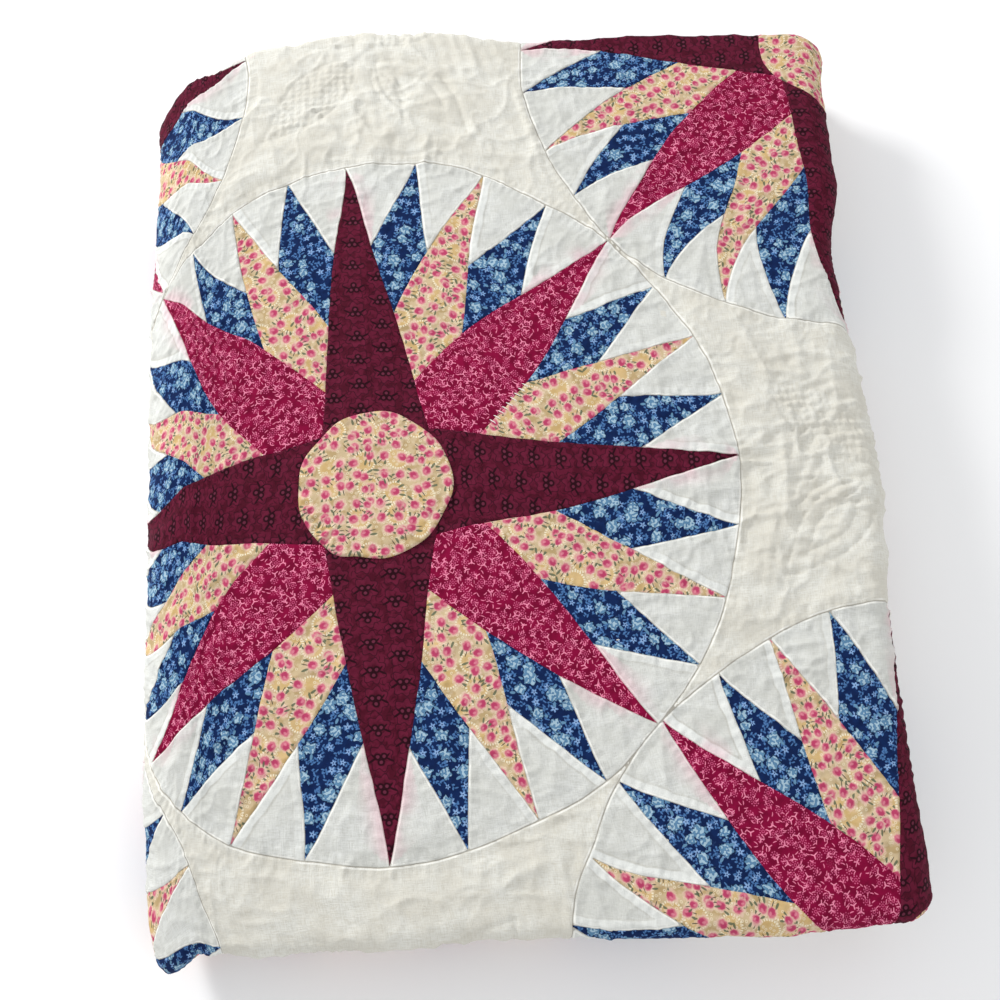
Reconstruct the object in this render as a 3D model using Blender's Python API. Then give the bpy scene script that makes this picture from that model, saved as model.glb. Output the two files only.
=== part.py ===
"""A hand-quilted star quilt, folded into a block, with the appliqued disc at the centre of its full compass.

The quilt is one thick cloth. Its near and far edges are folded to the middle and closed like a book, which makes
a pack of four layers. The pack's left and right ends are folded to the middle and closed like a book again, so
the block has sixteen layers. The solid is the pack's section, in y and n, swept along the second fold's path, in
x and z. The origin is at the middle of the underside, x to the right, y away from the viewer, z up.
"""
import math

import bmesh
import bpy

# Cloth, in metres
CLOTH = 0.0036
LAYER_GAP = 0.0009
PACK_GAP = 0.0010

# Straight reach of the folded block, before its edges are made uneven
LEFT = -0.230
RIGHT = 0.222
NEAR = -0.294
FAR = 0.294

# The full compass of the pattern, and the disc sewn on its middle
COMPASS_X = -0.087
COMPASS_Y = -0.034
COMPASS_RADIUS = 0.220
DISC_RADIUS = 0.0475
DISC_RIM = 0.0011
DISC_CROWN = 0.0009
DISC_WAVES = ((2, 0.014, 0.4), (5, 0.011, 1.1), (9, 0.009, 2.3))
TOUCH_GAP = 0.0003

# Sizes that follow from the cloth
LAYER_PITCH = CLOTH + LAYER_GAP
PACK = 4 * CLOTH + 3 * LAYER_GAP
PACK_PITCH = PACK + PACK_GAP
HEIGHT = 4 * PACK + 3 * PACK_GAP

# How far each edge of the block stands out from its straight line. Rows: place along the edge, offset
RIGHT_EDGE = ((-0.294, -0.006), (-0.20, -0.0075), (-0.12, -0.0055), (-0.03, 0.002), (0.05, 0.000),
              (0.12, -0.002), (0.18, 0.009), (0.25, 0.013), (0.294, 0.020))
LEFT_EDGE = ((-0.294, 0.011), (-0.26, 0.0045), (-0.19, 0.002), (-0.03, 0.002), (0.12, 0.0005),
             (0.20, 0.0025), (0.25, 0.004), (0.294, 0.002))
NEAR_EDGE = ((-0.23, -0.003), (-0.20, 0.010), (-0.16, 0.0065), (-0.10, 0.0065), (-0.02, 0.0065),
             (0.06, 0.000), (0.14, -0.003), (0.20, -0.002), (0.23, 0.0045))
FAR_EDGE = ((-0.23, -0.032), (-0.20, -0.011), (-0.155, 0.007), (-0.10, 0.0145), (-0.05, 0.0115),
            (0.02, 0.000), (0.09, 0.001), (0.15, 0.000), (0.20, 0.001), (0.23, -0.008))

# Where the block sinks towards its edges and corners. Rows: the side in x (-1 left, 1 right, 0 both alike), the
# side in y (-1 near, 1 far, 0 both alike), how far in it starts in x and in y, share of the height lost at the side
SINKING = ((-1, 1, 0.300, 0.480, 0.13),
           (-1, -1, 0.160, 0.200, 0.16),
           (1, -1, 0.160, 0.180, 0.10),
           (1, 1, 0.160, 0.160, 0.12),
           (0, 1, 1.000, 0.110, 0.09),
           (0, -1, 1.000, 0.090, 0.07))

# The runs of the pack from the free end inside: floors of layers below it, and how far it stops short of the
# block's near and far edges
INNER_BOTTOM = {"floor": 1, "near": 0.007, "far": 0.005}
OUTER_BOTTOM = {"floor": 0, "near": 0.004, "far": 0.006}
OUTER_TOP = {"floor": 3, "near": 0.000, "far": 0.000}
INNER_TOP = {"floor": 2, "near": 0.003, "far": 0.008}
LOWER_FOLD_BACK = 0.006

# Places of the mesh's rows along a plain run, steps along the top run and the bends, then the same in the section
PLAIN_PLACES = (0.10, 0.22, 0.38, 0.60, 0.82)
TOP_STEPS = 18
BIG_BEND_STEPS = 7
SMALL_BEND_STEPS = 4
LAYER_PLACES = (0.09, 0.27, 0.50, 0.73, 0.91)
FACE_STEPS = 22
BIG_FOLD_STEPS = 6
SMALL_FOLD_STEPS = 3
DISC_SIDES = 40

# Relief of the quilting on the top face
POINT_RIDGE = 0.0011
SEAM_DIP = 0.0010
SEAM_REACH = 0.012

# Main soft ridges in the muslin. Rows: x, y, half length, half width, turn in degrees, rise
CREASES = ((0.145, 0.002, 0.075, 0.018, 35, 0.0014),
           (0.175, -0.077, 0.080, 0.018, -20, 0.0012),
           (-0.020, 0.238, 0.090, 0.020, 12, 0.0013),
           (-0.120, -0.260, 0.080, 0.018, -25, 0.0011))


def eased(rows, at):
    """The offset at one place in a table of rows (place, offset), eased from row to row."""
    if at <= rows[0][0]:
        return rows[0][1]
    for (place_a, value_a), (place_b, value_b) in zip(rows, rows[1:]):
        if at <= place_b:
            share = (at - place_a) / (place_b - place_a)
            share = share * share * (3 - 2 * share)
            return value_a + (value_b - value_a) * share
    return rows[-1][1]


def bell(distance):
    """1 at the middle of a soft bump, 0 from a distance of one reach on."""
    return math.cos(min(distance, 1.0) * math.pi / 2) ** 2


def towards(side, place, low, high, reach):
    """1 at the low (side -1) or high (side 1) end of a width, falling to 0 one reach in from it. 1 for side 0."""
    if side == 0:
        return 1.0
    inside = place - low if side < 0 else high - place
    return max(1 - inside / reach, 0.0) ** 2


def uneven(x, y, z):
    """A point of the straight block, moved to the block's real outline and height."""
    to_right = (x - LEFT) / (RIGHT - LEFT)
    to_far = (y - NEAR) / (FAR - NEAR)
    moved_x = x + to_right * eased(RIGHT_EDGE, y) + (1 - to_right) * eased(LEFT_EDGE, y)
    moved_y = y + to_far * eased(FAR_EDGE, x) + (1 - to_far) * eased(NEAR_EDGE, x)
    sunk = 0.0
    for side_x, side_y, reach_x, reach_y, share in SINKING:
        sunk += share * towards(side_x, x, LEFT, RIGHT, reach_x) * towards(side_y, y, NEAR, FAR, reach_y)
    return moved_x, moved_y, z * (1 - sunk)


def compass_relief(x, y):
    """Height of the pieced top over its plain face: a ridge along each of the eight main points, a dip at the seam."""
    from_centre_x = x - COMPASS_X
    from_centre_y = y - COMPASS_Y
    radius = math.hypot(from_centre_x, from_centre_y)
    seam = SEAM_DIP * bell(abs(radius - COMPASS_RADIUS) / SEAM_REACH)
    if radius > COMPASS_RADIUS:
        return -seam
    eighths = math.atan2(from_centre_x, from_centre_y) * 8
    along = 1 - radius / COMPASS_RADIUS
    return POINT_RIDGE * (0.5 + 0.5 * math.cos(eighths)) * math.sqrt(along) - seam


def crease_relief(x, y):
    """Height of the main soft ridges that cross the muslin between the compasses."""
    height = 0.0
    for centre_x, centre_y, half_length, half_width, turn, rise in CREASES:
        angle = math.radians(turn)
        along = (x - centre_x) * math.cos(angle) + (y - centre_y) * math.sin(angle)
        across = (y - centre_y) * math.cos(angle) - (x - centre_x) * math.sin(angle)
        height += rise * bell(math.hypot(along / half_length, across / half_width))
    return height


def top_relief(x, y):
    """Relief of the top face at a place of the straight block. It is plain under the disc."""
    radius = math.hypot(x - COMPASS_X, y - COMPASS_Y)
    outside_disc = min(max(radius / DISC_RADIUS - 1.25, 0.0), 1.0)
    return (compass_relief(x, y) + crease_relief(x, y)) * outside_disc


def even(steps):
    """The inner places of a stretch cut into equal steps, from 0 to 1."""
    return [k / steps for k in range(1, steps)]


def arc(centre, radius, start, end, steps):
    """The points of an arc with both its ends, by angles in degrees."""
    angles = [math.radians(start + (end - start) * k / steps) for k in range(steps + 1)]
    return [(centre[0] + radius * math.cos(a), centre[1] + radius * math.sin(a)) for a in angles]


def pack_section():
    """The two sides of the cloth through the pack, from free end to free end, as rows (y, n, along, on top).

    n runs across the pack's layers. along counts the stretches of cloth, faces and folds alike, and tells which
    points of the two sides lie against each other. on top marks the pack's upper face.
    """
    outer = 1.5 * LAYER_PITCH
    inner = 0.5 * LAYER_PITCH
    half = CLOTH / 2
    near_fold = NEAR + outer + half
    far_fold = FAR - inner - half

    def face(stretch, n, places, away, on_top=False):
        rows = []
        for place in places:
            y = near_fold + (far_fold - near_fold) * place
            rows.append((y, n, stretch + (place if away else 1 - place), on_top))
        return rows if away else rows[::-1]

    def fold(stretch, centre, radius, start, end, steps):
        points = arc(centre, radius, start, end, steps)
        return [(y, n, stretch + k / steps, False) for k, (y, n) in enumerate(points)]

    def side(out, top_places):
        """One side of the cloth: out is 1 for the pieced side and -1 for the backing."""
        rows = [(near_fold, inner - out * half, 0.0, False)]
        rows += face(0, inner - out * half, LAYER_PLACES, away=True)
        rows += fold(1, (far_fold, LAYER_PITCH), inner + out * half, -90, 90, SMALL_FOLD_STEPS)
        rows += face(2, outer + out * half, top_places, away=False, on_top=out > 0)
        rows += fold(3, (near_fold, 0.0), outer + out * half, 90, 270, BIG_FOLD_STEPS)
        rows += face(4, -outer - out * half, LAYER_PLACES, away=True)
        rows += fold(5, (far_fold, -LAYER_PITCH), inner + out * half, -90, 90, SMALL_FOLD_STEPS)
        rows += face(6, out * half - inner, LAYER_PLACES, away=False)
        rows += [(near_fold, out * half - inner, 7.0, False)]
        return rows

    return side(1, even(FACE_STEPS)), side(-1, LAYER_PLACES)


def pack_path():
    """The second fold's path as rows: x, z, the normal's x and z, near and far shortfall, and whether it is on top."""
    left_bend_x = LEFT + HEIGHT / 2
    upper_bend_x = RIGHT - (PACK_PITCH + PACK) / 2
    lower_bend_x = upper_bend_x - LOWER_FOLD_BACK
    rows = []

    def middle(run):
        return PACK / 2 + run["floor"] * PACK_PITCH

    def straight(run, to_right, places=PLAIN_PLACES, on_top=False):
        across = [left_bend_x + (upper_bend_x - left_bend_x) * place for place in places]
        normal_z = 1.0 if to_right else -1.0
        for x in across if to_right else across[::-1]:
            rows.append((x, middle(run), 0.0, normal_z, run["near"], run["far"], on_top))

    def bend(run_a, run_b, x, start, end, steps):
        centre_z = (middle(run_a) + middle(run_b)) / 2
        radius = abs(middle(run_a) - middle(run_b)) / 2
        for k, (px, pz) in enumerate(arc((x, centre_z), radius, start, end, steps)):
            share = k / steps
            near = run_a["near"] * (1 - share) + run_b["near"] * share
            far = run_a["far"] * (1 - share) + run_b["far"] * share
            rows.append((px, pz, (px - x) / radius, (pz - centre_z) / radius, near, far, False))

    straight(INNER_BOTTOM, to_right=True, places=(0.0,) + PLAIN_PLACES)
    bend(INNER_BOTTOM, OUTER_BOTTOM, lower_bend_x, 90, -90, SMALL_BEND_STEPS)
    straight(OUTER_BOTTOM, to_right=False)
    bend(OUTER_BOTTOM, OUTER_TOP, left_bend_x, 270, 90, BIG_BEND_STEPS)
    straight(OUTER_TOP, to_right=True, places=even(TOP_STEPS), on_top=True)
    bend(OUTER_TOP, INNER_TOP, upper_bend_x, 90, -90, SMALL_BEND_STEPS)
    straight(INNER_TOP, to_right=False, places=(0.0,) + PLAIN_PLACES)
    return rows


def quilt_points():
    """The quilt's points, a ring round the section for each row of the path."""
    pieced, backing = pack_section()
    outline = pieced + backing[::-1]
    rings = []
    for x, z, normal_x, normal_z, near, far, top_run in pack_path():
        ring = []
        for y, n, _, on_top in outline:
            to_far = (y - NEAR) / (FAR - NEAR)
            placed_y = y + near * (1 - to_far) - far * to_far
            relief = top_relief(x, placed_y) if top_run and on_top else 0.0
            ring.append(uneven(x + n * normal_x, placed_y, z + n * normal_z + relief))
        rings.append(ring)
    return rings


def finish(name, bm, colour, roughness):
    """Makes a smooth-shaded object of a closed mesh, with a cloth material of its own."""
    bmesh.ops.recalc_face_normals(bm, faces=bm.faces)
    mesh = bpy.data.meshes.new(name)
    bm.to_mesh(mesh)
    bm.free()
    mesh.shade_smooth()
    material = bpy.data.materials.new(name)
    material.use_nodes = True
    shader = material.node_tree.nodes["Principled BSDF"]
    shader.inputs["Base Color"].default_value = (*colour, 1.0)
    shader.inputs["Roughness"].default_value = roughness
    shader.inputs["Metallic"].default_value = 0.0
    mesh.materials.append(material)
    thing = bpy.data.objects.new(name, mesh)
    bpy.context.scene.collection.objects.link(thing)
    return thing


def halve(bm, corners):
    """Adds a four-cornered patch as two triangles, cut the same way in plan on faces that lie against each other."""
    a, b, c, d = corners
    diagonal = c.co - a.co
    if diagonal.x * diagonal.y > 0:
        bm.faces.new((a, b, c))
        bm.faces.new((a, c, d))
    else:
        bm.faces.new((a, b, d))
        bm.faces.new((b, c, d))


def close_end(bm, ring):
    """Closes a free end of the pack with triangles between the two sides of the cloth."""
    pieced_rows, backing_rows = pack_section()
    pieced = ring[:len(pieced_rows)]
    backing = ring[len(pieced_rows):][::-1]
    a = 0
    b = 0
    while a < len(pieced) - 1 or b < len(backing) - 1:
        pieced_left = a < len(pieced) - 1
        backing_left = b < len(backing) - 1
        if pieced_left and (not backing_left or pieced_rows[a + 1][2] <= backing_rows[b + 1][2]):
            bm.faces.new((pieced[a], pieced[a + 1], backing[b]))
            a += 1
        else:
            bm.faces.new((pieced[a], backing[b + 1], backing[b]))
            b += 1


def make_quilt(rings, middle_x, middle_y):
    """The folded quilt: rings of its section joined along the path and closed at both free ends."""
    bm = bmesh.new()
    rings = [[bm.verts.new((x - middle_x, y - middle_y, z)) for x, y, z in ring] for ring in rings]
    count = len(rings[0])
    for ring_a, ring_b in zip(rings, rings[1:]):
        for k in range(count):
            after = (k + 1) % count
            halve(bm, (ring_a[k], ring_a[after], ring_b[after], ring_b[k]))
    close_end(bm, rings[0])
    close_end(bm, rings[-1])
    return finish("quilt", bm, (0.83, 0.79, 0.71), 0.9)


def disc_outline():
    """The disc's uneven, hand-turned edge, as points round its own middle."""
    points = []
    for k in range(DISC_SIDES):
        angle = math.tau * k / DISC_SIDES
        radius = DISC_RADIUS
        for waves, height, phase in DISC_WAVES:
            radius += DISC_RADIUS * height * math.sin(waves * angle + phase)
        points.append((radius * math.cos(angle), radius * math.sin(angle)))
    return points


def make_disc(middle_x, middle_y):
    """The appliqued disc, a low cushion of cloth that follows the top face."""
    bm = bmesh.new()
    outline = disc_outline()
    home_x, home_y, home_z = uneven(COMPASS_X, COMPASS_Y, HEIGHT)

    def corner(x, y, z):
        placed_x, placed_y, face_z = uneven(COMPASS_X + x, COMPASS_Y + y, HEIGHT)
        return bm.verts.new((placed_x - home_x, placed_y - home_y, face_z - home_z + z))

    # Rows: share of the radius, height
    levels = ((0.6, 0.0), (1.0, 0.0), (1.0, 0.6 * DISC_RIM), (0.975, DISC_RIM), (0.6, DISC_RIM + 0.75 * DISC_CROWN))
    rings = [[corner(x * share, y * share, z) for x, y in outline] for share, z in levels]
    for ring_a, ring_b in zip(rings, rings[1:]):
        for k in range(DISC_SIDES):
            after = (k + 1) % DISC_SIDES
            bm.faces.new((ring_a[k], ring_a[after], ring_b[after], ring_b[k]))
    for ring, z in ((rings[0], 0.0), (rings[-1], DISC_RIM + DISC_CROWN)):
        hub = corner(0.0, 0.0, z)
        for k in range(DISC_SIDES):
            bm.faces.new((ring[k], ring[(k + 1) % DISC_SIDES], hub))
    disc = finish("centre_disc", bm, (0.72, 0.55, 0.36), 0.85)
    disc.location = (home_x - middle_x, home_y - middle_y, home_z + TOUCH_GAP)
    return disc


def main():
    for old in list(bpy.data.objects):
        bpy.data.objects.remove(old, do_unlink=True)
    rings = quilt_points()
    across = [x for ring in rings for x, _, _ in ring]
    away = [y for ring in rings for _, y, _ in ring]
    middle_x = (min(across) + max(across)) / 2
    middle_y = (min(away) + max(away)) / 2
    make_quilt(rings, middle_x, middle_y)
    make_disc(middle_x, middle_y)


main()
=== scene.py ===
"""The photographed star quilt: pieced, hand-quilted cloth over the folded block, its prints and its light."""
import math

import bpy
import numpy as np
from mathutils import Matrix, Vector
from mathutils.geometry import delaunay_2d_cdt
from mathutils.kdtree import KDTree


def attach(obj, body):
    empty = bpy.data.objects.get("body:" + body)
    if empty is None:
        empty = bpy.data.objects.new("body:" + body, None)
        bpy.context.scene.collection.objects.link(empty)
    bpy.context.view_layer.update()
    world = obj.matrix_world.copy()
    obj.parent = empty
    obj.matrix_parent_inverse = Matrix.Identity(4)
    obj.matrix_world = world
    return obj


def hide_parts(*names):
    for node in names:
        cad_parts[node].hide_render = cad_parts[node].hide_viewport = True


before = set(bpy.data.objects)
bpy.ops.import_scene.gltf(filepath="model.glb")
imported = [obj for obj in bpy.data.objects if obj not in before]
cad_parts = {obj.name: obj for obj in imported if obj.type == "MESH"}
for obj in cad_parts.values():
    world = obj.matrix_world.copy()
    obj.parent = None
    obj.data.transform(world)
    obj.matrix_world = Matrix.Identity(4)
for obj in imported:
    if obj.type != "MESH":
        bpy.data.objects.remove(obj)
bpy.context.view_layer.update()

# The folded block, in metres, with the same sizes as its solid
CLOTH = 0.0036
LAYER_GAP = 0.0009
PACK_GAP = 0.0010
LAYER_PITCH = CLOTH + LAYER_GAP
PACK = 4 * CLOTH + 3 * LAYER_GAP
PACK_PITCH = PACK + PACK_GAP
HEIGHT = 4 * PACK + 3 * PACK_GAP
LEFT = -0.230
RIGHT = 0.222
NEAR = -0.294
FAR = 0.294
RIGHT_EDGE = ((-0.294, -0.006), (-0.20, -0.0075), (-0.12, -0.0055), (-0.03, 0.002), (0.05, 0.000),
              (0.12, -0.002), (0.18, 0.009), (0.25, 0.013), (0.294, 0.020))
LEFT_EDGE = ((-0.294, 0.011), (-0.26, 0.0045), (-0.19, 0.002), (-0.03, 0.002), (0.12, 0.0005),
             (0.20, 0.0025), (0.25, 0.004), (0.294, 0.002))
NEAR_EDGE = ((-0.23, -0.003), (-0.20, 0.010), (-0.16, 0.0065), (-0.10, 0.0065), (-0.02, 0.0065),
             (0.06, 0.000), (0.14, -0.003), (0.20, -0.002), (0.23, 0.0045))
FAR_EDGE = ((-0.23, -0.032), (-0.20, -0.011), (-0.155, 0.007), (-0.10, 0.0145), (-0.05, 0.0115),
            (0.02, 0.000), (0.09, 0.001), (0.15, 0.000), (0.20, 0.001), (0.23, -0.008))

# Where the block sinks. Columns: side in x and in y, how far in it starts in x and in y, share of height lost
SINKING = ((-1, 1, 0.300, 0.480, 0.13),
           (-1, -1, 0.160, 0.200, 0.16),
           (1, -1, 0.160, 0.180, 0.10),
           (1, 1, 0.160, 0.160, 0.12),
           (0, 1, 1.000, 0.110, 0.09),
           (0, -1, 1.000, 0.090, 0.07))

# Runs of the pack. Columns: floor, shortfall at the near edge, shortfall at the far edge
INNER_BOTTOM = (1, 0.007, 0.005)
OUTER_BOTTOM = (0, 0.004, 0.006)
OUTER_TOP = (3, 0.000, 0.000)
INNER_TOP = (2, 0.003, 0.008)
LOWER_FOLD_BACK = 0.006

# Radii of the outer cloth at the folds
BIG_BEND = HEIGHT / 2
SMALL_BEND = (PACK_PITCH + PACK) / 2
NEAR_ROUND = PACK / 2
FAR_ROUND = (LAYER_PITCH + CLOTH) / 2
LEFT_BEND_X = LEFT + BIG_BEND
UPPER_BEND_X = RIGHT - SMALL_BEND
LOWER_BEND_X = UPPER_BEND_X - LOWER_FOLD_BACK
NEAR_FOLD_Y = NEAR + NEAR_ROUND
FAR_FOLD_Y = FAR - FAR_ROUND

# Flat cloth places of the folds. On top, u is x and v is y. u follows the second fold and v the first
U_LEFT = LEFT_BEND_X
U_BOTTOM_LEFT = U_LEFT - math.pi * BIG_BEND
U_BOTTOM_RIGHT = U_BOTTOM_LEFT - (LOWER_BEND_X - LEFT_BEND_X)
U_LOWER = U_BOTTOM_RIGHT - math.pi * SMALL_BEND
U_START = U_LOWER - (LOWER_BEND_X - LEFT_BEND_X)
U_RIGHT = UPPER_BEND_X
U_INNER = U_RIGHT + math.pi * SMALL_BEND
U_END = U_INNER + (UPPER_BEND_X - LEFT_BEND_X)
V_FAR = FAR_FOLD_Y
V_TOP_END = V_FAR + math.pi * FAR_ROUND
V_NEAR = NEAR_FOLD_Y
V_LOWER_FACE = V_NEAR - math.pi * NEAR_ROUND
V_LOWER_FAR = V_LOWER_FACE - (FAR_FOLD_Y - NEAR_FOLD_Y)
V_LOWER_END = V_LOWER_FAR - math.pi * FAR_ROUND
V_UPPER_EDGE = V_TOP_END + (FAR_FOLD_Y - NEAR_FOLD_Y)
V_LOWER_EDGE = V_LOWER_END - (FAR_FOLD_Y - NEAR_FOLD_Y)

# The second fold. Columns: u from, to, run from, to, x from, to, direction out at both ends in degrees
PATH = ((U_START, U_LOWER, INNER_BOTTOM, INNER_BOTTOM, LEFT_BEND_X, LOWER_BEND_X, 90, 90),
        (U_LOWER, U_BOTTOM_RIGHT, INNER_BOTTOM, OUTER_BOTTOM, LOWER_BEND_X, LOWER_BEND_X, 90, -90),
        (U_BOTTOM_RIGHT, U_BOTTOM_LEFT, OUTER_BOTTOM, OUTER_BOTTOM, LOWER_BEND_X, LEFT_BEND_X, -90, -90),
        (U_BOTTOM_LEFT, U_LEFT, OUTER_BOTTOM, OUTER_TOP, LEFT_BEND_X, LEFT_BEND_X, 270, 90),
        (U_LEFT, U_RIGHT, OUTER_TOP, OUTER_TOP, LEFT_BEND_X, UPPER_BEND_X, 90, 90),
        (U_RIGHT, U_INNER, OUTER_TOP, INNER_TOP, UPPER_BEND_X, UPPER_BEND_X, 90, -90),
        (U_INNER, U_END, INNER_TOP, INNER_TOP, UPPER_BEND_X, LEFT_BEND_X, -90, -90))

# The first fold. Columns: v from, to, y from, to, middle layer, radius, direction out at both ends in degrees
SECTION = ((V_LOWER_EDGE, V_LOWER_END, NEAR_FOLD_Y, FAR_FOLD_Y, -LAYER_PITCH, FAR_ROUND, 90, 90),
           (V_LOWER_END, V_LOWER_FAR, FAR_FOLD_Y, FAR_FOLD_Y, -LAYER_PITCH, FAR_ROUND, 90, -90),
           (V_LOWER_FAR, V_LOWER_FACE, FAR_FOLD_Y, NEAR_FOLD_Y, 0.0, NEAR_ROUND, -90, -90),
           (V_LOWER_FACE, V_NEAR, NEAR_FOLD_Y, NEAR_FOLD_Y, 0.0, NEAR_ROUND, 270, 90),
           (V_NEAR, V_FAR, NEAR_FOLD_Y, FAR_FOLD_Y, 0.0, NEAR_ROUND, 90, 90),
           (V_FAR, V_TOP_END, FAR_FOLD_Y, FAR_FOLD_Y, LAYER_PITCH, FAR_ROUND, 90, -90),
           (V_TOP_END, V_UPPER_EDGE, FAR_FOLD_Y, NEAR_FOLD_Y, LAYER_PITCH, FAR_ROUND, -90, -90))

# The compasses that show. Columns: name, place in the lattice in u and v, distance from the main one in u and
# v, radius, turn in degrees, drift of the disc and the wide ends in u and v
SEEN_COMPASSES = (("main", 0, 0, 0.0, 0.0, 0.2193, 0.0, 0.0, 0.0),
                  ("far_right", 1, 1, 0.3178, 0.3136, 0.2154, 1.9, -0.0085, 0.0100),
                  ("near_right", 1, -1, 0.3126, -0.2943, 0.2133, 0.0, 0.0045, -0.0100),
                  ("far_left", -1, 1, -0.2981, 0.3149, 0.2134, 0.0, 0.0, 0.0),
                  ("near_left", -1, -1, -0.3266, -0.2950, 0.2134, 0.0, 0.0, 0.0))

# The middle of the main one, and the lattice and radius of those that are not seen
MAIN_U = -0.0876
MAIN_V = -0.0351
LATTICE = 0.311
EVEN_RADIUS = 0.2134

# How the hand-pieced tips stand. Columns for each compass: direction, reach as a share, turn in degrees
SLIPS = {"main": ((0, 0.996, -3.2), (11.25, 1.021, -3.0), (22.5, 1.040, -3.0), (33.75, 1.030, -2.6),
                  (45, 1.045, -1.1), (56.25, 1.031, -1.6), (67.5, 1.028, -2.4), (78.75, 1.023, -3.2),
                  (90, 1.009, -4.0), (101.25, 0.998, -3.9), (112.5, 1.003, -3.4), (123.75, 0.996, -3.2),
                  (135, 0.982, -3.4), (146.25, 0.983, -2.6), (157.5, 0.980, -1.1), (168.75, 0.986, -0.5),
                  (180, 0.992, 0.0), (191.25, 0.985, 1.2), (202.5, 1.000, 1.3), (213.75, 1.025, 2.7),
                  (225, 0.995, 3.5), (315, 1.030, 1.2), (326.25, 0.995, -0.5), (337.5, 0.986, -0.6),
                  (348.75, 1.005, -2.0)),
         "far_right": ((191.25, 1.003, 0.7), (202.5, 0.991, 0.1), (213.75, 1.005, -0.6), (247.5, 0.999, -0.9),
                       (258.75, 1.003, 1.3)),
         "near_right": ((281.25, 1.040, -0.3), (292.5, 1.001, -1.1), (303.75, 1.006, 0.3), (315, 0.998, 0.8),
                        (326.25, 0.986, 1.0), (348.75, 1.002, -0.7)),
         "far_left": ((90, 1.030, -2.0), (101.25, 1.034, -0.6), (112.5, 1.026, 0.0), (123.75, 0.987, 0.7),
                      (135, 0.963, 1.1)),
         "near_left": ((56.25, 0.988, -0.3), (67.5, 1.014, -0.4), (78.75, 1.040, 1.0))}

# The kinds of point, from the lowest layer up. Columns: first direction, step, half-angle, shoulder, fabric
MUSLIN, WHITE, BLUE, FLORAL, RASPBERRY, BURGUNDY = range(6)
POINTS = ((11.25, 22.5, 15.0, 0.06, BLUE),
          (22.5, 45.0, 10.4, 0.13, FLORAL),
          (45.0, 90.0, 11.0, 0.24, RASPBERRY),
          (0.0, 90.0, 10.7, 0.07, BURGUNDY))
ALL_POINTS = [((first + k * step) % 360, half_angle, shoulder, fabric)
              for first, step, half_angle, shoulder, fabric in POINTS for k in range(round(360 / step))]
TIP_TURN = 11.25
SHOULDER_AT = 0.130
LEAN_FREE = -1.8
LEAN = -0.0017
LEAN_REACH = 0.030
BURGUNDY_LEANS = {0: 0.0050, 90: 0.0014, 180: -0.0042, 270: -0.0014}
DISC_SHARE = 0.216

# The numbers of the patches in a compass: points from 0, white wedges and the disc. CUTS is how many
# different cuts the printed cloth has
WEDGES = 40
DISC_PATCH = 99
CUTS = 4000

# The pull of the left fold, which gathers the cloth near it
PULL_START = -0.165
PULL_REACH = 0.085
PULL = 0.025
RISE_START = -0.228
RISE_REACH = 0.048
RISE = 0.0140

# How the hand piecing wavers. Columns: size of the shift, size of its hills, seeds in u and in v
WAVERS = ((0.0004, 0.030, 21, 23),
          (0.0009, 0.110, 22, 24),
          (0.00022, 0.007, 25, 26))

# Sizes of the needlework
ALLOWANCE = 0.0062
SEAM_STEP = 0.0006
BESIDE_SEAM = 0.00012
STITCH = 0.0029
FINE = 0.00130
COARSE = 0.0026
LIFT = 0.00015
BODY_SUNK = 0.0009
DEEPEST_FINE = -0.0009
DEEPEST_COARSE = -0.0005
FLOOR_GAP = 0.0002
LEAF = 0.080
LATTICE_LINES = 0.0068
PUFF = 0.00045
PUCKER = 0.00024
PUCKER_PITCH = 0.0054
QUILTED = 0.0010
QUILTED_PUFF = 0.0006

# Relief along the seams. Columns: distance from the seam, half width, rise, its share that is steady, and the
# share that follows the stitches
NEEDLEWORK = ((0.0, 0.0007, -0.00045, 0.80, 0.20),
              (0.0013, 0.0009, 0.00034, 1.0, 0.0),
              (ALLOWANCE, 0.0009, -0.00036, 0.45, 0.55))

# Crinkles of the limp cloth. Columns: stretch in u and in v, size, seed, rise
CRINKLES = ((1.0, 1.0, 0.010, 31, 0.00050),
            (1.0, 1.6, 0.019, 33, 0.00085),
            (1.5, 1.0, 0.034, 36, 0.0009))

# Where the cloth is limper. Columns: middle in u and v, reach in u and v, how much more
LIMP_GAPS = ((0.165, -0.03, 0.12, 0.17, 0.9),
             (-0.09, 0.24, 0.13, 0.09, 0.5))

# Gathers in the muslin. Columns: whether their ridges run in v, where they start and are full, middle and
# reach across, slant, waver and the size of its hills, pitch, rise, steady share, size of spots, seed
GATHERS = ((False, 0.135, 0.185, 0.005, 0.10, -0.2, 0.003, 0.02, 0.0066, 0.00050, 0.5, 0.018, 37),
           (True, 0.215, 0.275, -0.055, 0.085, 0.25, 0.004, 0.03, 0.0098, 0.00055, 0.6, 0.022, 45))

# The solid's own relief, and its soft hills with columns: rise, size, seed
COMPASS_RADIUS = 0.220
SOLID_DISC_RADIUS = 0.0475
POINT_RIDGE = 0.0011
SEAM_DIP = 0.0010
SEAM_REACH = 0.012
SOFT_HILLS = ((0.0007, 0.085, 3),
              (0.0005, 0.040, 4))

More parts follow.
